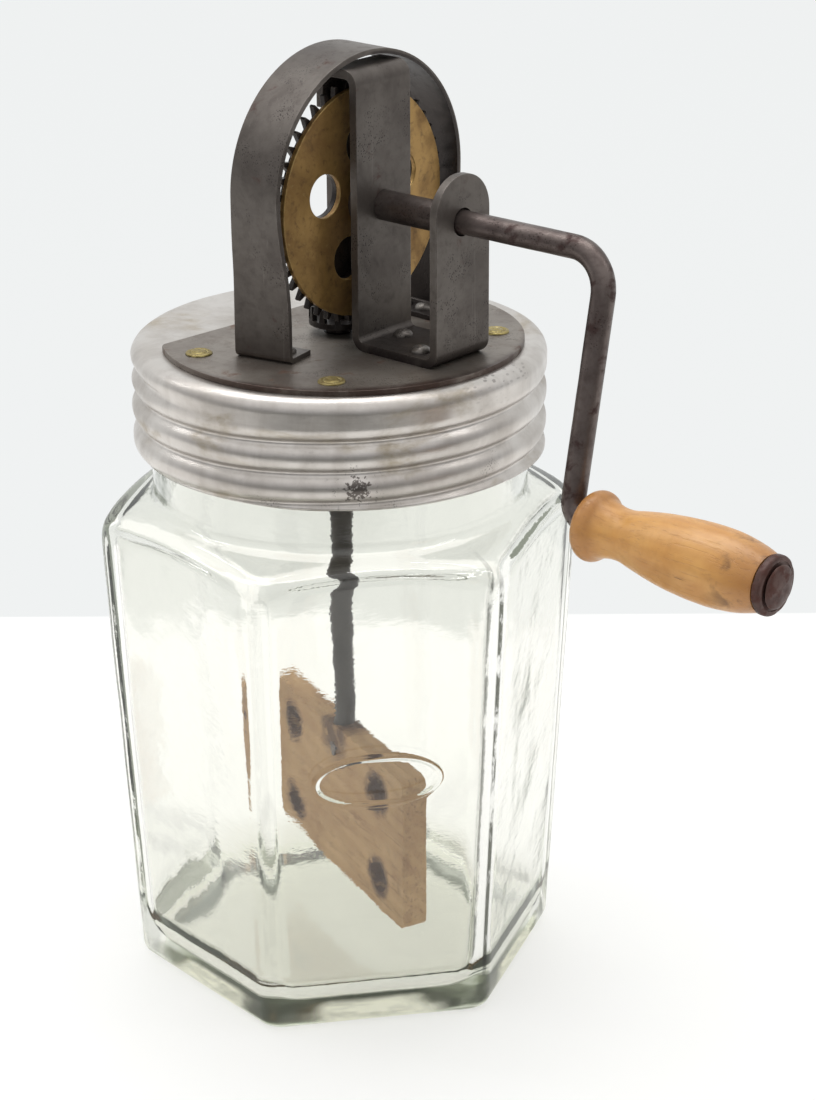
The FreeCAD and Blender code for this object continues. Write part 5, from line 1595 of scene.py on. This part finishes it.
@dataclass
class Lid(SubAssembly):
    """What is fixed on the cap: plate, arch, bracket, sleeve, bush and all rivets."""

    title = "lid"
    body = "lid"
    shank_share: float = 0.5
    head_share: float = 0.97
    ring_place: float = 0.62
    ring_width: float = 0.07
    ring_depth: float = 0.35
    head_clear: float = 1.2 * MM
    flat_dent: float = 0.22 * MM
    dome_dent: float = 0.1 * MM
    facets: float = 700.0
    hammering: float = 800.0
    steps: int = 40
    leg_middle: float = 4.4 * MM
    leg_reach: float = 36.6 * MM
    leg_top: float = 252.0 * MM
    leg_foot: float = 214.0 * MM
    leg_turn: float = math.radians(13.5)
    leg_steps: int = 26

    def rivet(self, node: str, look: Look, flat: bool, seed: float) -> None:
        """Make one rivet whose head is hammered unevenly.

        Args:
            node: The node that the rivet stands for.
            look: The look that it is given.
            flat: Whether the head is low and flattened, or a dome.
            seed: What makes this rivet differ from the others.
        """
        low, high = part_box(node)
        middle = (low + high) / 2
        radius = (high.x - low.x) / 2
        foot = min(
            vert.co.z for vert in self.nodes[node].data.vertices
            if (vert.co.xy - middle.xy).length > radius * self.head_share and vert.co.z > low.z + self.head_clear
        )
        shank, rise = radius * self.shank_share, high.z - foot
        profile = [(0.0, low.z), (shank, low.z), (shank, foot), (radius * self.head_share, foot)]
        if flat:
            for share in shares(16):
                inward = 1 - share ** 2.6
                groove = self.ring_depth * rise * math.exp(-((inward - self.ring_place) / self.ring_width) ** 2)
                profile.append((radius * inward, foot + rise * (1 - (1 - share) ** 2.4) - groove))
        else:
            profile += dome(radius, foot, rise, 7)
        bm = turned(profile, self.steps, False)
        for vert in bm.verts:
            if vert.co.z > foot:
                cell = noise.cell(Vector((vert.co.x, vert.co.y, 0)) * self.facets + Vector((seed, seed, seed)))
                hollow = noise.noise(vert.co * self.hammering + Vector((seed * 3, 0, 0))) + (cell - 0.5) * 0.4
                vert.co.z += min(hollow, 0.0) * (self.flat_dent if flat else self.dome_dent)
        bmesh.ops.translate(bm, verts=bm.verts, vec=(middle.x, middle.y, 0))
        self.settle(bm, node, look, 50.0)

    def twist_leg(self, bm: Mesh) -> None:
        """Turn the arch's front leg about its own upright line, more and more towards its foot.

        Args:
            bm: The arch's mesh.
        """
        run = self.leg_top - self.leg_foot
        for share in shares(self.leg_steps)[:-1]:
            bmesh.ops.bisect_plane(
                bm, geom=bm.verts[:] + bm.edges[:] + bm.faces[:], plane_co=(0, 0, self.leg_top - run * share),
                plane_no=(0, 0, 1),
            )
        line = Vector((self.leg_middle, -self.leg_reach, 0))
        for vert in bm.verts:
            if vert.co.y <= 0 and vert.co.z <= self.leg_top:
                turn = Matrix.Rotation(self.leg_turn * eased((self.leg_top - vert.co.z) / run), 4, "Z")
                vert.co = turn @ (vert.co - line) + line

    def build(self) -> None:
        """Make the pieces that are riveted on the cap."""
        self.refined("base_plate", Look.PLATE_STEEL, 0.35 * MM)
        self.refined("arch_guard", Look.ARCH_STEEL, 0.35 * MM, change=self.twist_leg)
        self.refined("gear_bracket", Look.FRAME_STEEL, 0.45 * MM)
        self.refined("axle_sleeve", Look.SLEEVE_STEEL, 0.2 * MM)
        self.refined("shaft_bush", Look.FRAME_STEEL, 0.2 * MM)
        for number in range(1, 5):
            self.rivet(f"plate_rivet_{number}", Look.RIVET_BRASS, True, float(number))
            self.rivet(f"arch_rivet_{number}", Look.RIVET_STEEL, False, 10.0 + number)
        for number in (1, 2):
            self.rivet(f"bracket_rivet_{number}", Look.RIVET_STEEL, False, 20.0 + number)


@dataclass
class CrankSizes:
    """Sizes that the crank's rod and the grip on it share."""

    axle: float = 245.6 * MM
    rest: float = math.radians(11.65)
    rod: float = 3.5 * MM
    start: float = 2.4 * MM
    reach: float = 100.4 * MM
    arm: float = 73.9 * MM
    upper_bend: float = 12.0 * MM
    lower_bend: float = 5.5 * MM
    tilt: float = math.radians(2.0)
    grip_gap: float = 0.6 * MM
    tenon: float = 2.6 * MM
    end_play: float = 0.3 * MM
    head_height: float = 1.6 * MM
    head_radius: float = 6.2 * MM
    head_edge: float = 0.3 * MM
    sleeve_end: float = 52.0 * MM
    tip_share: float = 0.86
    tip_length: float = 0.5 * MM
    rod_dent: Point = (130.0, 0.12 * MM)
    rod_steps: int = 36
    head_foot: float = 0.96
    head_dent: Point = (420.0, 0.5 * MM)
    head_steps: int = 40
    wood_swells: tuple[Point, ...] = ((60.0, 0.22 * MM), (210.0, 0.07 * MM))
    wood_steps: int = 96
    wear: float = 0.14 * MM
    ferrule_dent: Point = (330.0, 0.25 * MM)
    ferrule_steps: int = 72
    ferrule_rim: float = 7.2 * MM
    grip_length: float = 60.5 * MM
    grip_end: float = 8.2 * MM
    collar_length: float = 6.2 * MM
    collar_foot: float = 8.8 * MM
    collar_round: float = 3.6 * MM
    neck_length: float = 17.0 * MM
    neck_round: float = 15.1 * MM
    belly_place: float = 43.0 * MM
    belly: float = 11.25 * MM
    grip_clearance: float = 0.25 * MM
    ferrule: float = 8.5 * MM
    ferrule_thickness: float = 2.8 * MM
    ferrule_round: float = 0.9 * MM
    ferrule_face: tuple[Point, ...] = ((7.0, 0.0), (6.9, 0.22), (6.6, 0.3), (6.3, 0.3), (4.4, 0.3))
    tenon_clearance: float = 0.3 * MM

    def crank_place(self) -> Matrix:
        """Return the place of the crank at rest, with its arm straight down before the turn."""
        return Matrix.Translation((0, 0, self.axle)) @ Matrix.Rotation(-self.rest, 4, "X")

    def bend_run(self) -> float:
        """Return how far the lower bend starts and ends from the corner that it rounds."""
        return self.lower_bend * math.tan((QUARTER - self.tilt) / 2)

    def spindle_place(self) -> Matrix:
        """Return the place of the grip's inner end, with X along the spindle.

        Returns:
            The matrix.
        """
        corner = self.crank_place() @ Matrix.Translation((self.reach, 0, -self.arm))
        along = Matrix.Translation((self.bend_run() + self.grip_gap, 0, 0))
        return corner @ Matrix.Rotation(self.tilt, 4, "Y") @ along

    def lay(self, bm: Mesh) -> None:
        """Lay a shape that was spun around Z along the spindle."""
        bmesh.ops.transform(bm, matrix=self.spindle_place() @ Matrix.Rotation(QUARTER, 4, "Y"), verts=bm.verts)

    def off_spindle(self, point: Vector) -> float:
        """Return a point's distance from the spindle's line."""
        return (self.spindle_place().inverted() @ point).yz.length


def straight(start: Vector, end: Vector, radius: float, steps: int) -> list[Station]:
    """Return the centres, directions and radii along a straight stretch of a rod."""
    way = (end - start).normalized()
    return [(start.lerp(end, share), way, radius) for share in shares(steps, 0)]


def bend(centre: Vector, reach: float, first: float, last: float, radius: float, steps: int) -> list[Station]:
    """Return the stations along a bend of a rod in the plane of X and Z.

    Args:
        centre: The middle of the bend.
        reach: How far from it the rod's line runs.
        first: The angle at which the bend starts.
        last: The angle at which it ends.
        radius: The rod's own radius.
        steps: How many steps there are in the bend.

    Returns:
        The centres, directions and radii, without those of both ends.
    """
    line = []
    for angle in [first + (last - first) * share for share in shares(steps)[:-1]]:
        out = Vector((math.cos(angle), 0, math.sin(angle)))
        way = Vector((-out.z, 0, out.x)) * math.copysign(1.0, last - first)
        line.append((centre + out * reach, way, radius))
    return line


@dataclass
class Crank(CrankSizes, SubAssembly):
    """The crank's bent rod, the wheel that turns with it and the closed end of its spindle."""

    title = "crank"
    body = "crank"

    def centre_line(self) -> list[Station]:
        """Return the rod's line in the crank's own plane.

        Returns:
            For each ring its centre, its direction and its radius.
        """
        turn = Vector((self.reach - self.upper_bend, 0, 0))
        line = straight(Vector((self.start, 0, 0)), turn, self.rod, 24)
        line += bend(turn - Vector((0, 0, self.upper_bend)), self.upper_bend, QUARTER, 0.0, self.rod, 14)
        low = Vector((self.reach, 0, self.bend_run() - self.arm))
        line += straight(Vector((self.reach, 0, -self.upper_bend)), low, self.rod, 18)
        centre = low + Vector((self.lower_bend, 0, 0))
        line += bend(centre, self.lower_bend, math.pi, 1.5 * math.pi - self.tilt, self.rod, 10)
        way = Vector((math.cos(self.tilt), 0, -math.sin(self.tilt)))
        corner = Vector((self.reach, 0, -self.arm))
        shoulder = corner + way * (self.bend_run() + self.grip_gap + self.grip_length - self.end_play)
        line += straight(corner + way * self.bend_run(), shoulder, self.rod, 16)
        tip = shoulder + way * (self.ferrule_thickness + 2 * self.end_play + self.head_edge)
        return line + straight(shoulder, tip, self.tenon, 3)

    def sweep_rod(self) -> None:
        """Sweep a circle along the rod's line."""
        place = self.crank_place()
        line = self.centre_line()
        start, way, radius = line[0]
        tip = (start, way, radius * self.tip_share)
        stations = [tip, (start + way * self.tip_length, way, radius)] + line[1:]
        across = Vector((0, 1, 0))
        turns = [FULL * share for share in shares(self.rod_steps, 0)[:-1]]
        bm = lofted([
            [place @ (centre + (across * math.cos(turn) + way.cross(across) * math.sin(turn)) * radius)
             for turn in turns]
            for centre, way, radius in stations
        ])
        bmesh.ops.remove_doubles(bm, verts=bm.verts, dist=1e-6)
        bmesh.ops.recalc_face_normals(bm, faces=bm.faces)
        free_end = self.reach + self.grip_gap
        dent(bm, self.rod_dent, lambda point: self.sleeve_end < point.x < free_end)
        self.settle(bm, "crank_rod", Look.ROD_STEEL, 40.0)

    def spindle_head(self) -> None:
        """Make the hammered closed end of the spindle."""
        start = self.grip_length + self.ferrule_thickness + self.end_play
        foot = start + self.head_edge
        profile = [(0.0, start), (self.head_radius * self.head_foot, start), (self.head_radius, foot)]
        profile += dome(self.head_radius, foot, self.head_height - self.head_edge, 8)
        bm = turned(profile, self.head_steps, False)
        for vert in bm.verts:
            if vert.co.z > start + 0.2 * MM:
                vert.co.z += min(noisy(vert.co, self.head_dent), 0.0)
        self.lay(bm)
        self.settle(bm, "spindle_head", Look.RUSTY_STEEL, 50.0)

    def build(self) -> None:
        """Make the rod and the wheel."""
        self.sweep_rod()
        self.spindle_head()
        self.refined("gear_disc", Look.DISC_BRASS, 0.22 * MM, 2)
        self.refined("toothed_wheel", Look.GEAR_STEEL, 0.14 * MM, 2)
        self.refined("wheel_hub", Look.ROD_STEEL, 0.3 * MM, 2)
        self.refined("hub_pin", Look.ROD_STEEL, 0.15 * MM, 2)


@dataclass
class Grip(CrankSizes, SubAssembly):
    """The turned wooden grip and its steel end cap."""

    title = "grip"
    body = "grip"

    def belly_round(self, run: float) -> float:
        """Return the radius of the arc that rises to the belly over a length."""
        rise = self.belly - self.grip_end
        return (run * run + rise * rise) / (2 * rise)

    def wood(self) -> None:
        """Spin the grip's barrel and collar, then wear it a little out of round."""
        bore, end = self.rod + self.grip_clearance, self.grip_end
        rise, fall = self.belly_place - self.neck_length, self.grip_length - self.belly_place
        line = [(0.0, bore), (0.0, end)]
        for place, height, radius, turn, steps in (
            (self.collar_length, self.collar_foot, self.collar_round, -1, 14),
            (self.neck_length, end, self.neck_round, 1, 12),
            (self.belly_place, self.belly, self.belly_round(rise), -1, 16),
            (self.grip_length, end, self.belly_round(fall), -1, 12),
        ):
            line += arc_points(line[-1], (place, height), radius, turn, steps)
        line.append((self.grip_length, bore))
        bm = turned([(radius, along) for along, radius in line], self.wood_steps, True)
        self.lay(bm)
        bm.normal_update()
        for vert in bm.verts:
            if self.off_spindle(vert.co) >= bore + 0.5 * MM:
                vert.co += vert.normal * (noisy(vert.co, *self.wood_swells) - self.wear)
        self.settle(bm, "wooden_grip", Look.GRIP_WOOD, 42.0)

    def end_cap(self) -> None:
        """Spin the end cap with rounded edges and a shallow groove on its face."""
        bore, edge = self.tenon + self.tenon_clearance, self.ferrule_round
        low, high = self.grip_length, self.grip_length + self.ferrule_thickness
        line = [(low, bore), (low, self.ferrule - edge)]
        line += arc_points(line[-1], (low + edge, self.ferrule), edge, -1, 5)
        line.append((high - edge, self.ferrule))
        line += arc_points(line[-1], (high, self.ferrule - edge), edge, -1, 5)
        line += [(high - drop * MM, radius * MM) for radius, drop in self.ferrule_face]
        line.append((high - self.ferrule_face[-1][1] * MM, bore))
        bm = turned([(radius, along) for along, radius in line], self.ferrule_steps, True)
        self.lay(bm)
        dent(bm, self.ferrule_dent, lambda point: self.off_spindle(point) > self.ferrule_rim)
        self.settle(bm, "grip_ferrule", Look.RUSTY_STEEL, 40.0)

    def build(self) -> None:
        """Make the grip and its end cap."""
        self.wood()
        self.end_cap()


@dataclass
class PaddleSizes:
    """Sizes of the wooden paddle."""

    turn: float = math.radians(-21.5)
    bottom: float = 25.5 * MM
    height: float = 50.0 * MM
    hole: float = 5.0 * MM
    hole_across: float = 30.0 * MM
    hole_rise: float = 14.5 * MM

    def board_place(self) -> Matrix:
        """Return the turn that the paddle rests at."""
        return Matrix.Rotation(self.turn, 4, "Z")

    def hole_places(self) -> tuple[Point, ...]:
        """Return the holes' centres on the board, across and up."""
        middle = self.bottom + self.height / 2
        return tuple(
            (side * self.hole_across, middle + rise * self.hole_rise) for side in (-1, 1) for rise in (-1, 1)
        )


class Dasher(SubAssembly):
    """The crown pinion, its shaft and the wooden paddle."""

    title = "dasher"
    body = "dasher"

    def build(self) -> None:
        """Make the pieces that turn inside the jar."""
        self.refined("pinion", Look.GEAR_STEEL, 0.14 * MM, 2)
        self.refined("dasher_shaft", Look.SHAFT_STEEL, 0.25 * MM, 2)
        self.refined("shaft_collar", Look.SHAFT_STEEL, 0.3 * MM, 2)
        self.refined("dasher_paddle", Look.PADDLE_WOOD, 1.1 * MM, 4)
        self.refined("paddle_pin", Look.ROD_STEEL, 0.15 * MM, 2)


@dataclass(frozen=True)
class Studio:
    """Camera, lamps, world and floor."""

    azimuth: float = math.radians(41.16)
    elevation: float = math.radians(21.50)
    roll: float = math.radians(-0.28)
    distance: float = 880.6 * MM
    aim_height: float = 150.0 * MM
    aim_right: float = 20.39 * MM
    aim_up: float = -15.62 * MM
    lens: float = 94.21
    sensor: float = 36.0
    floor_behind: float = 265.0 * MM
    floor_reach: float = 4.0
    floor_gap: float = 0.12 * MM
    table_front: float = 0.40
    table_light: Colour = srgb(247, 247, 245)
    table_dark: Colour = srgb(242, 241, 238)
    table_glow: Colour = srgb(253, 253, 251)
    room_floor: Colour = (0.10, 0.10, 0.09)
    room_low: Colour = (0.34, 0.34, 0.35)
    room_high: Colour = (0.98, 0.98, 0.98)
    near_low: Colour = (0.16, 0.17, 0.15)
    near_high: Colour = (0.85, 0.85, 0.84)
    wall_colour: Colour = srgb(239, 241, 241)
    wall_through_glass: Colour = srgb(234, 236, 233)

    def camera(self) -> None:
        """Set the camera at the photograph's viewing angle."""
        back = Vector((
            math.sin(self.azimuth) * math.cos(self.elevation),
            -math.cos(self.azimuth) * math.cos(self.elevation), math.sin(self.elevation),
        ))
        right = Vector((math.cos(self.azimuth), math.sin(self.azimuth), 0.0))
        up = back.cross(right)
        target = Vector((0, 0, self.aim_height)) + right * self.aim_right + up * self.aim_up
        rolled_right = right * math.cos(self.roll) + up * math.sin(self.roll)
        rolled_up = up * math.cos(self.roll) - right * math.sin(self.roll)
        data = bpy.data.cameras.new("view")
        data.lens, data.sensor_width, data.clip_start = self.lens, self.sensor, 0.01
        camera = bpy.data.objects.new("view", data)
        matrix = Matrix((rolled_right, rolled_up, back)).transposed().to_4x4()
        matrix.translation = target + back * self.distance
        camera.matrix_world = matrix
        bpy.context.scene.collection.objects.link(camera)
        bpy.context.scene.camera = camera

    def world(self) -> None:
        """Make a soft room: bright above, plain wall behind the churn, dimmer at the viewer's side."""
        world = bpy.data.worlds.new("room")
        bpy.context.scene.world = world
        world.use_nodes = True
        sheet = ShaderSheet(world.node_tree)
        way = sheet.add("TexCoord").outputs["Generated"]
        facing = sheet.vector("DOT_PRODUCT", way, (-math.sin(self.azimuth), math.cos(self.azimuth), 0.0))
        above = sheet.ramp(sheet.parts(way)[2], -0.05, 0.75)
        room = sheet.blend(above, self.room_low, self.room_high)
        near = sheet.blend(above, self.near_low, self.near_high)
        seen = sheet.blend(sheet.ramp(facing, -0.5, 0.3), near, self.wall_through_glass)
        polished = sheet.blend(sheet.ramp(facing, -0.1, 0.45), room, self.wall_colour)
        path = sheet.add("LightPath").outputs
        colour = sheet.blend(path["Is Glossy Ray"], room, polished)
        colour = sheet.blend(path["Is Transmission Ray"], colour, seen)
        colour = sheet.blend(path["Is Camera Ray"], colour, self.wall_colour)
        light = sheet.add("Background", {"Color": colour, "Strength": 1.0})
        sheet.add("OutputWorld", {"Surface": light.outputs[0]})

    def lamp(self, name: str, place: Sequence[float], size: Point, power: float) -> None:
        """Hang one soft lamp that faces the churn.

        Args:
            name: The lamp's name.
            place: Where it hangs.
            size: How wide and long it is.
            power: How strong it is, in watts.
        """
        data = bpy.data.lights.new(name, "AREA")
        data.shape = "RECTANGLE"
        data.size, data.size_y = size
        data.energy = power
        lamp = bpy.data.objects.new(name, data)
        lamp.location = place
        away = Vector(place) - Vector((0, 0, self.aim_height))
        lamp.rotation_euler = away.to_track_quat("Z", "Y").to_euler()
        bpy.context.scene.collection.objects.link(lamp)

    def table_material(self, effects: Effects) -> bpy.types.Material:
        """Return the table's material: pale in front, and the wall's colour behind its far edge.

        Args:
            effects: The shared effects.

        Returns:
            The new material.
        """
        material = bpy.data.materials.new("pale_table")
        material.use_nodes = True
        sheet = ShaderSheet(material.node_tree)
        path = sheet.add("LightPath").outputs
        seen, passed, mirrored = path["Is Camera Ray"], path["Is Transmission Ray"], path["Is Glossy Ray"]
        behind = sheet.parts(sheet.place(turn=(0.0, 0.0, -self.azimuth)))[1]
        beyond = sheet.ramp(behind, self.floor_behind - 2 * MM, self.floor_behind + 2 * MM)
        patches = effects.blotches.use(sheet, Vector=sheet.place(), Scale=9.0, Low=0.4, High=0.8)["Mask"]
        colour = sheet.blend(sheet.product(patches, 0.4), self.table_light, self.table_dark)
        colour = sheet.blend(beyond, colour, self.wall_colour)
        shader = sheet.add("BsdfPrincipled", {"Base Color": colour, "Roughness": 0.55, "Specular IOR Level": 0.25})
        unseen = sheet.math("SUBTRACT", sheet.math("MAXIMUM", mirrored, passed), seen, clamp=True)
        before = sheet.product(sheet.ramp(behind, -self.table_front, -self.table_front - 60 * MM), unseen)
        wall = sheet.blend(passed, self.wall_colour, self.wall_through_glass)
        glowing = sheet.blend(before, sheet.blend(beyond, self.table_glow, wall), self.room_floor)
        glow = sheet.add("Emission", {"Color": glowing, "Strength": 1.0})
        shown = sheet.math("MAXIMUM", sheet.math("MAXIMUM", seen, passed), sheet.product(mirrored, 0.6))
        shown = sheet.math("MAXIMUM", shown, before)
        share = sheet.ramp(sheet.math("MAXIMUM", beyond, before), 0.0, 1.0, 0.45, 0.97)
        mixed = sheet.add("MixShader", {0: sheet.product(shown, share), 1: shader.outputs[0], 2: glow.outputs[0]})
        sheet.add("OutputMaterial", {"Surface": mixed.outputs[0]})
        return material

    def floor(self, effects: Effects) -> None:
        """Lay the pale table, whose far edge lies behind the churn.

        Args:
            effects: The shared effects.
        """
        bm = bmesh.new()
        bmesh.ops.create_grid(bm, x_segments=2, y_segments=2, size=self.floor_reach)
        bmesh.ops.translate(bm, verts=bm.verts, vec=(0, 0, -self.floor_gap))
        mesh = bpy.data.meshes.new("table")
        bm.to_mesh(mesh)
        bm.free()
        floor = bpy.data.objects.new("table", mesh)
        bpy.context.scene.collection.objects.link(floor)
        mesh.materials.append(self.table_material(effects))

    def build(self, effects: Effects) -> None:
        """Set up the whole studio.

        Args:
            effects: The shared effects.
        """
        bpy.context.scene.view_settings.view_transform = "Standard"
        self.camera()
        self.world()
        self.floor(effects)
        self.lamp("overhead", (-0.35, 0.15, 1.5), (1.1, 0.8), 9.0)
        self.lamp("strip_left", (-0.75, -0.35, 1.25), (0.05, 1.2), 2.2)
        self.lamp("strip_right", (0.55, 0.35, 1.35), (0.05, 1.2), 2.0)
        LOG.info("studio: camera, lamps, world and table are set")


def make_finishes(effects: Effects) -> dict[Look, bpy.types.Material]:
    """Build the material of every look.

    Args:
        effects: The shared effects.

    Returns:
        The materials by look.
    """
    paddle = PaddleSizes()
    recipes: dict[Look, Finish] = {
        Look.CLEAR_GLASS: ClearGlass(),
        Look.SEAL_RUBBER: SealRubber(),
        Look.WORN_ALUMINIUM: WornAluminium(),
        # The frame is darker towards its foot.
        Look.FRAME_STEEL: OldSteel(darkening_place=DarkeningPlace.FOOT, darkening_from=209.5 * MM, darkening_to=204.5 * MM),
        # Painted shade on the arch's inner face.
        Look.ARCH_STEEL: OldSteel(darkening_place=DarkeningPlace.UNDER_ARCH, darkening_from=38.5 * MM, darkening_to=37.9 * MM),
        # The plate is darker towards its rim.
        Look.PLATE_STEEL: OldSteel(
            plain=srgb(134, 127, 119), dark=srgb(98, 87, 80), light=srgb(156, 148, 140),
            rust=srgb(104, 76, 62), rust_low=0.58, darkening=srgb(74, 60, 54), darkening_place=DarkeningPlace.RIM,
            darkening_from=54.0 * MM, darkening_to=57.4 * MM,
        ),
        Look.GEAR_STEEL: OldSteel(
            plain=srgb(50, 45, 43), dark=srgb(30, 27, 26), light=srgb(104, 96, 88), rust=srgb(52, 38, 32),
            rust_low=0.6, blotch_scale=110.0, roughness=0.36, metallic=0.55, wear=0.4,
        ),
        Look.DISC_BRASS: OldBrass(),
        Look.RIVET_BRASS: OldBrass(
            plain=srgb(158, 142, 86), brown=srgb(112, 98, 58), bright=srgb(206, 194, 136),
        ),
        Look.ROD_STEEL: OldSteel(
            plain=srgb(108, 98, 94), dark=srgb(64, 52, 50), rust=srgb(60, 40, 38), rust_low=0.54,
            blotch_scale=90.0, roughness=0.36, line_share=0.68, metallic=0.8,
        ),
        Look.SLEEVE_STEEL: OldSteel(
            plain=srgb(100, 92, 88), dark=srgb(60, 50, 48), rust=srgb(60, 42, 38), rust_low=0.56,
            blotch_scale=90.0, roughness=0.38, line_share=0.68, metallic=0.8,
        ),
        Look.RUSTY_STEEL: OldSteel(
            plain=srgb(84, 60, 54), dark=srgb(56, 36, 33), light=srgb(112, 86, 76), rust=srgb(78, 44, 36),
            rust_low=0.5, blotch_scale=140.0, roughness=0.46, metallic=0.45,
        ),
        Look.RIVET_STEEL: OldSteel(
            plain=srgb(112, 107, 102), dark=srgb(68, 62, 58), light=srgb(158, 152, 146), rust_low=0.66,
            blotch_scale=160.0, roughness=0.38,
        ),
        Look.SHAFT_STEEL: OldSteel(
            plain=srgb(68, 63, 60), dark=srgb(46, 42, 40), light=srgb(104, 98, 94), rust_low=0.64,
            blotch_scale=120.0, metallic=0.4,
        ),
        Look.GRIP_WOOD: TurnedWood(spindle=CrankSizes().spindle_place()),
        Look.PADDLE_WOOD: WashedWood(
            board=paddle.board_place(), holes=paddle.hole_places(), hole_radius=paddle.hole,
            top=paddle.bottom + paddle.height,
        ),
    }
    return {look: finish.build(f"{look.name.lower()}_finish", effects) for look, finish in recipes.items()}


def main() -> None:
    """Build the churn around its frame, part by part."""
    logging.basicConfig(level=logging.INFO, format="%(message)s")
    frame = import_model()
    effects = Effects()
    Studio().build(effects)
    finishes = make_finishes(effects)
    nodes = frame["nodes"]
    for kind in (Jar, Cap, Lid, Crank, Grip, Dasher):
        kind(nodes=nodes, finishes=finishes).build()


if __name__ == "__main__":
    main()
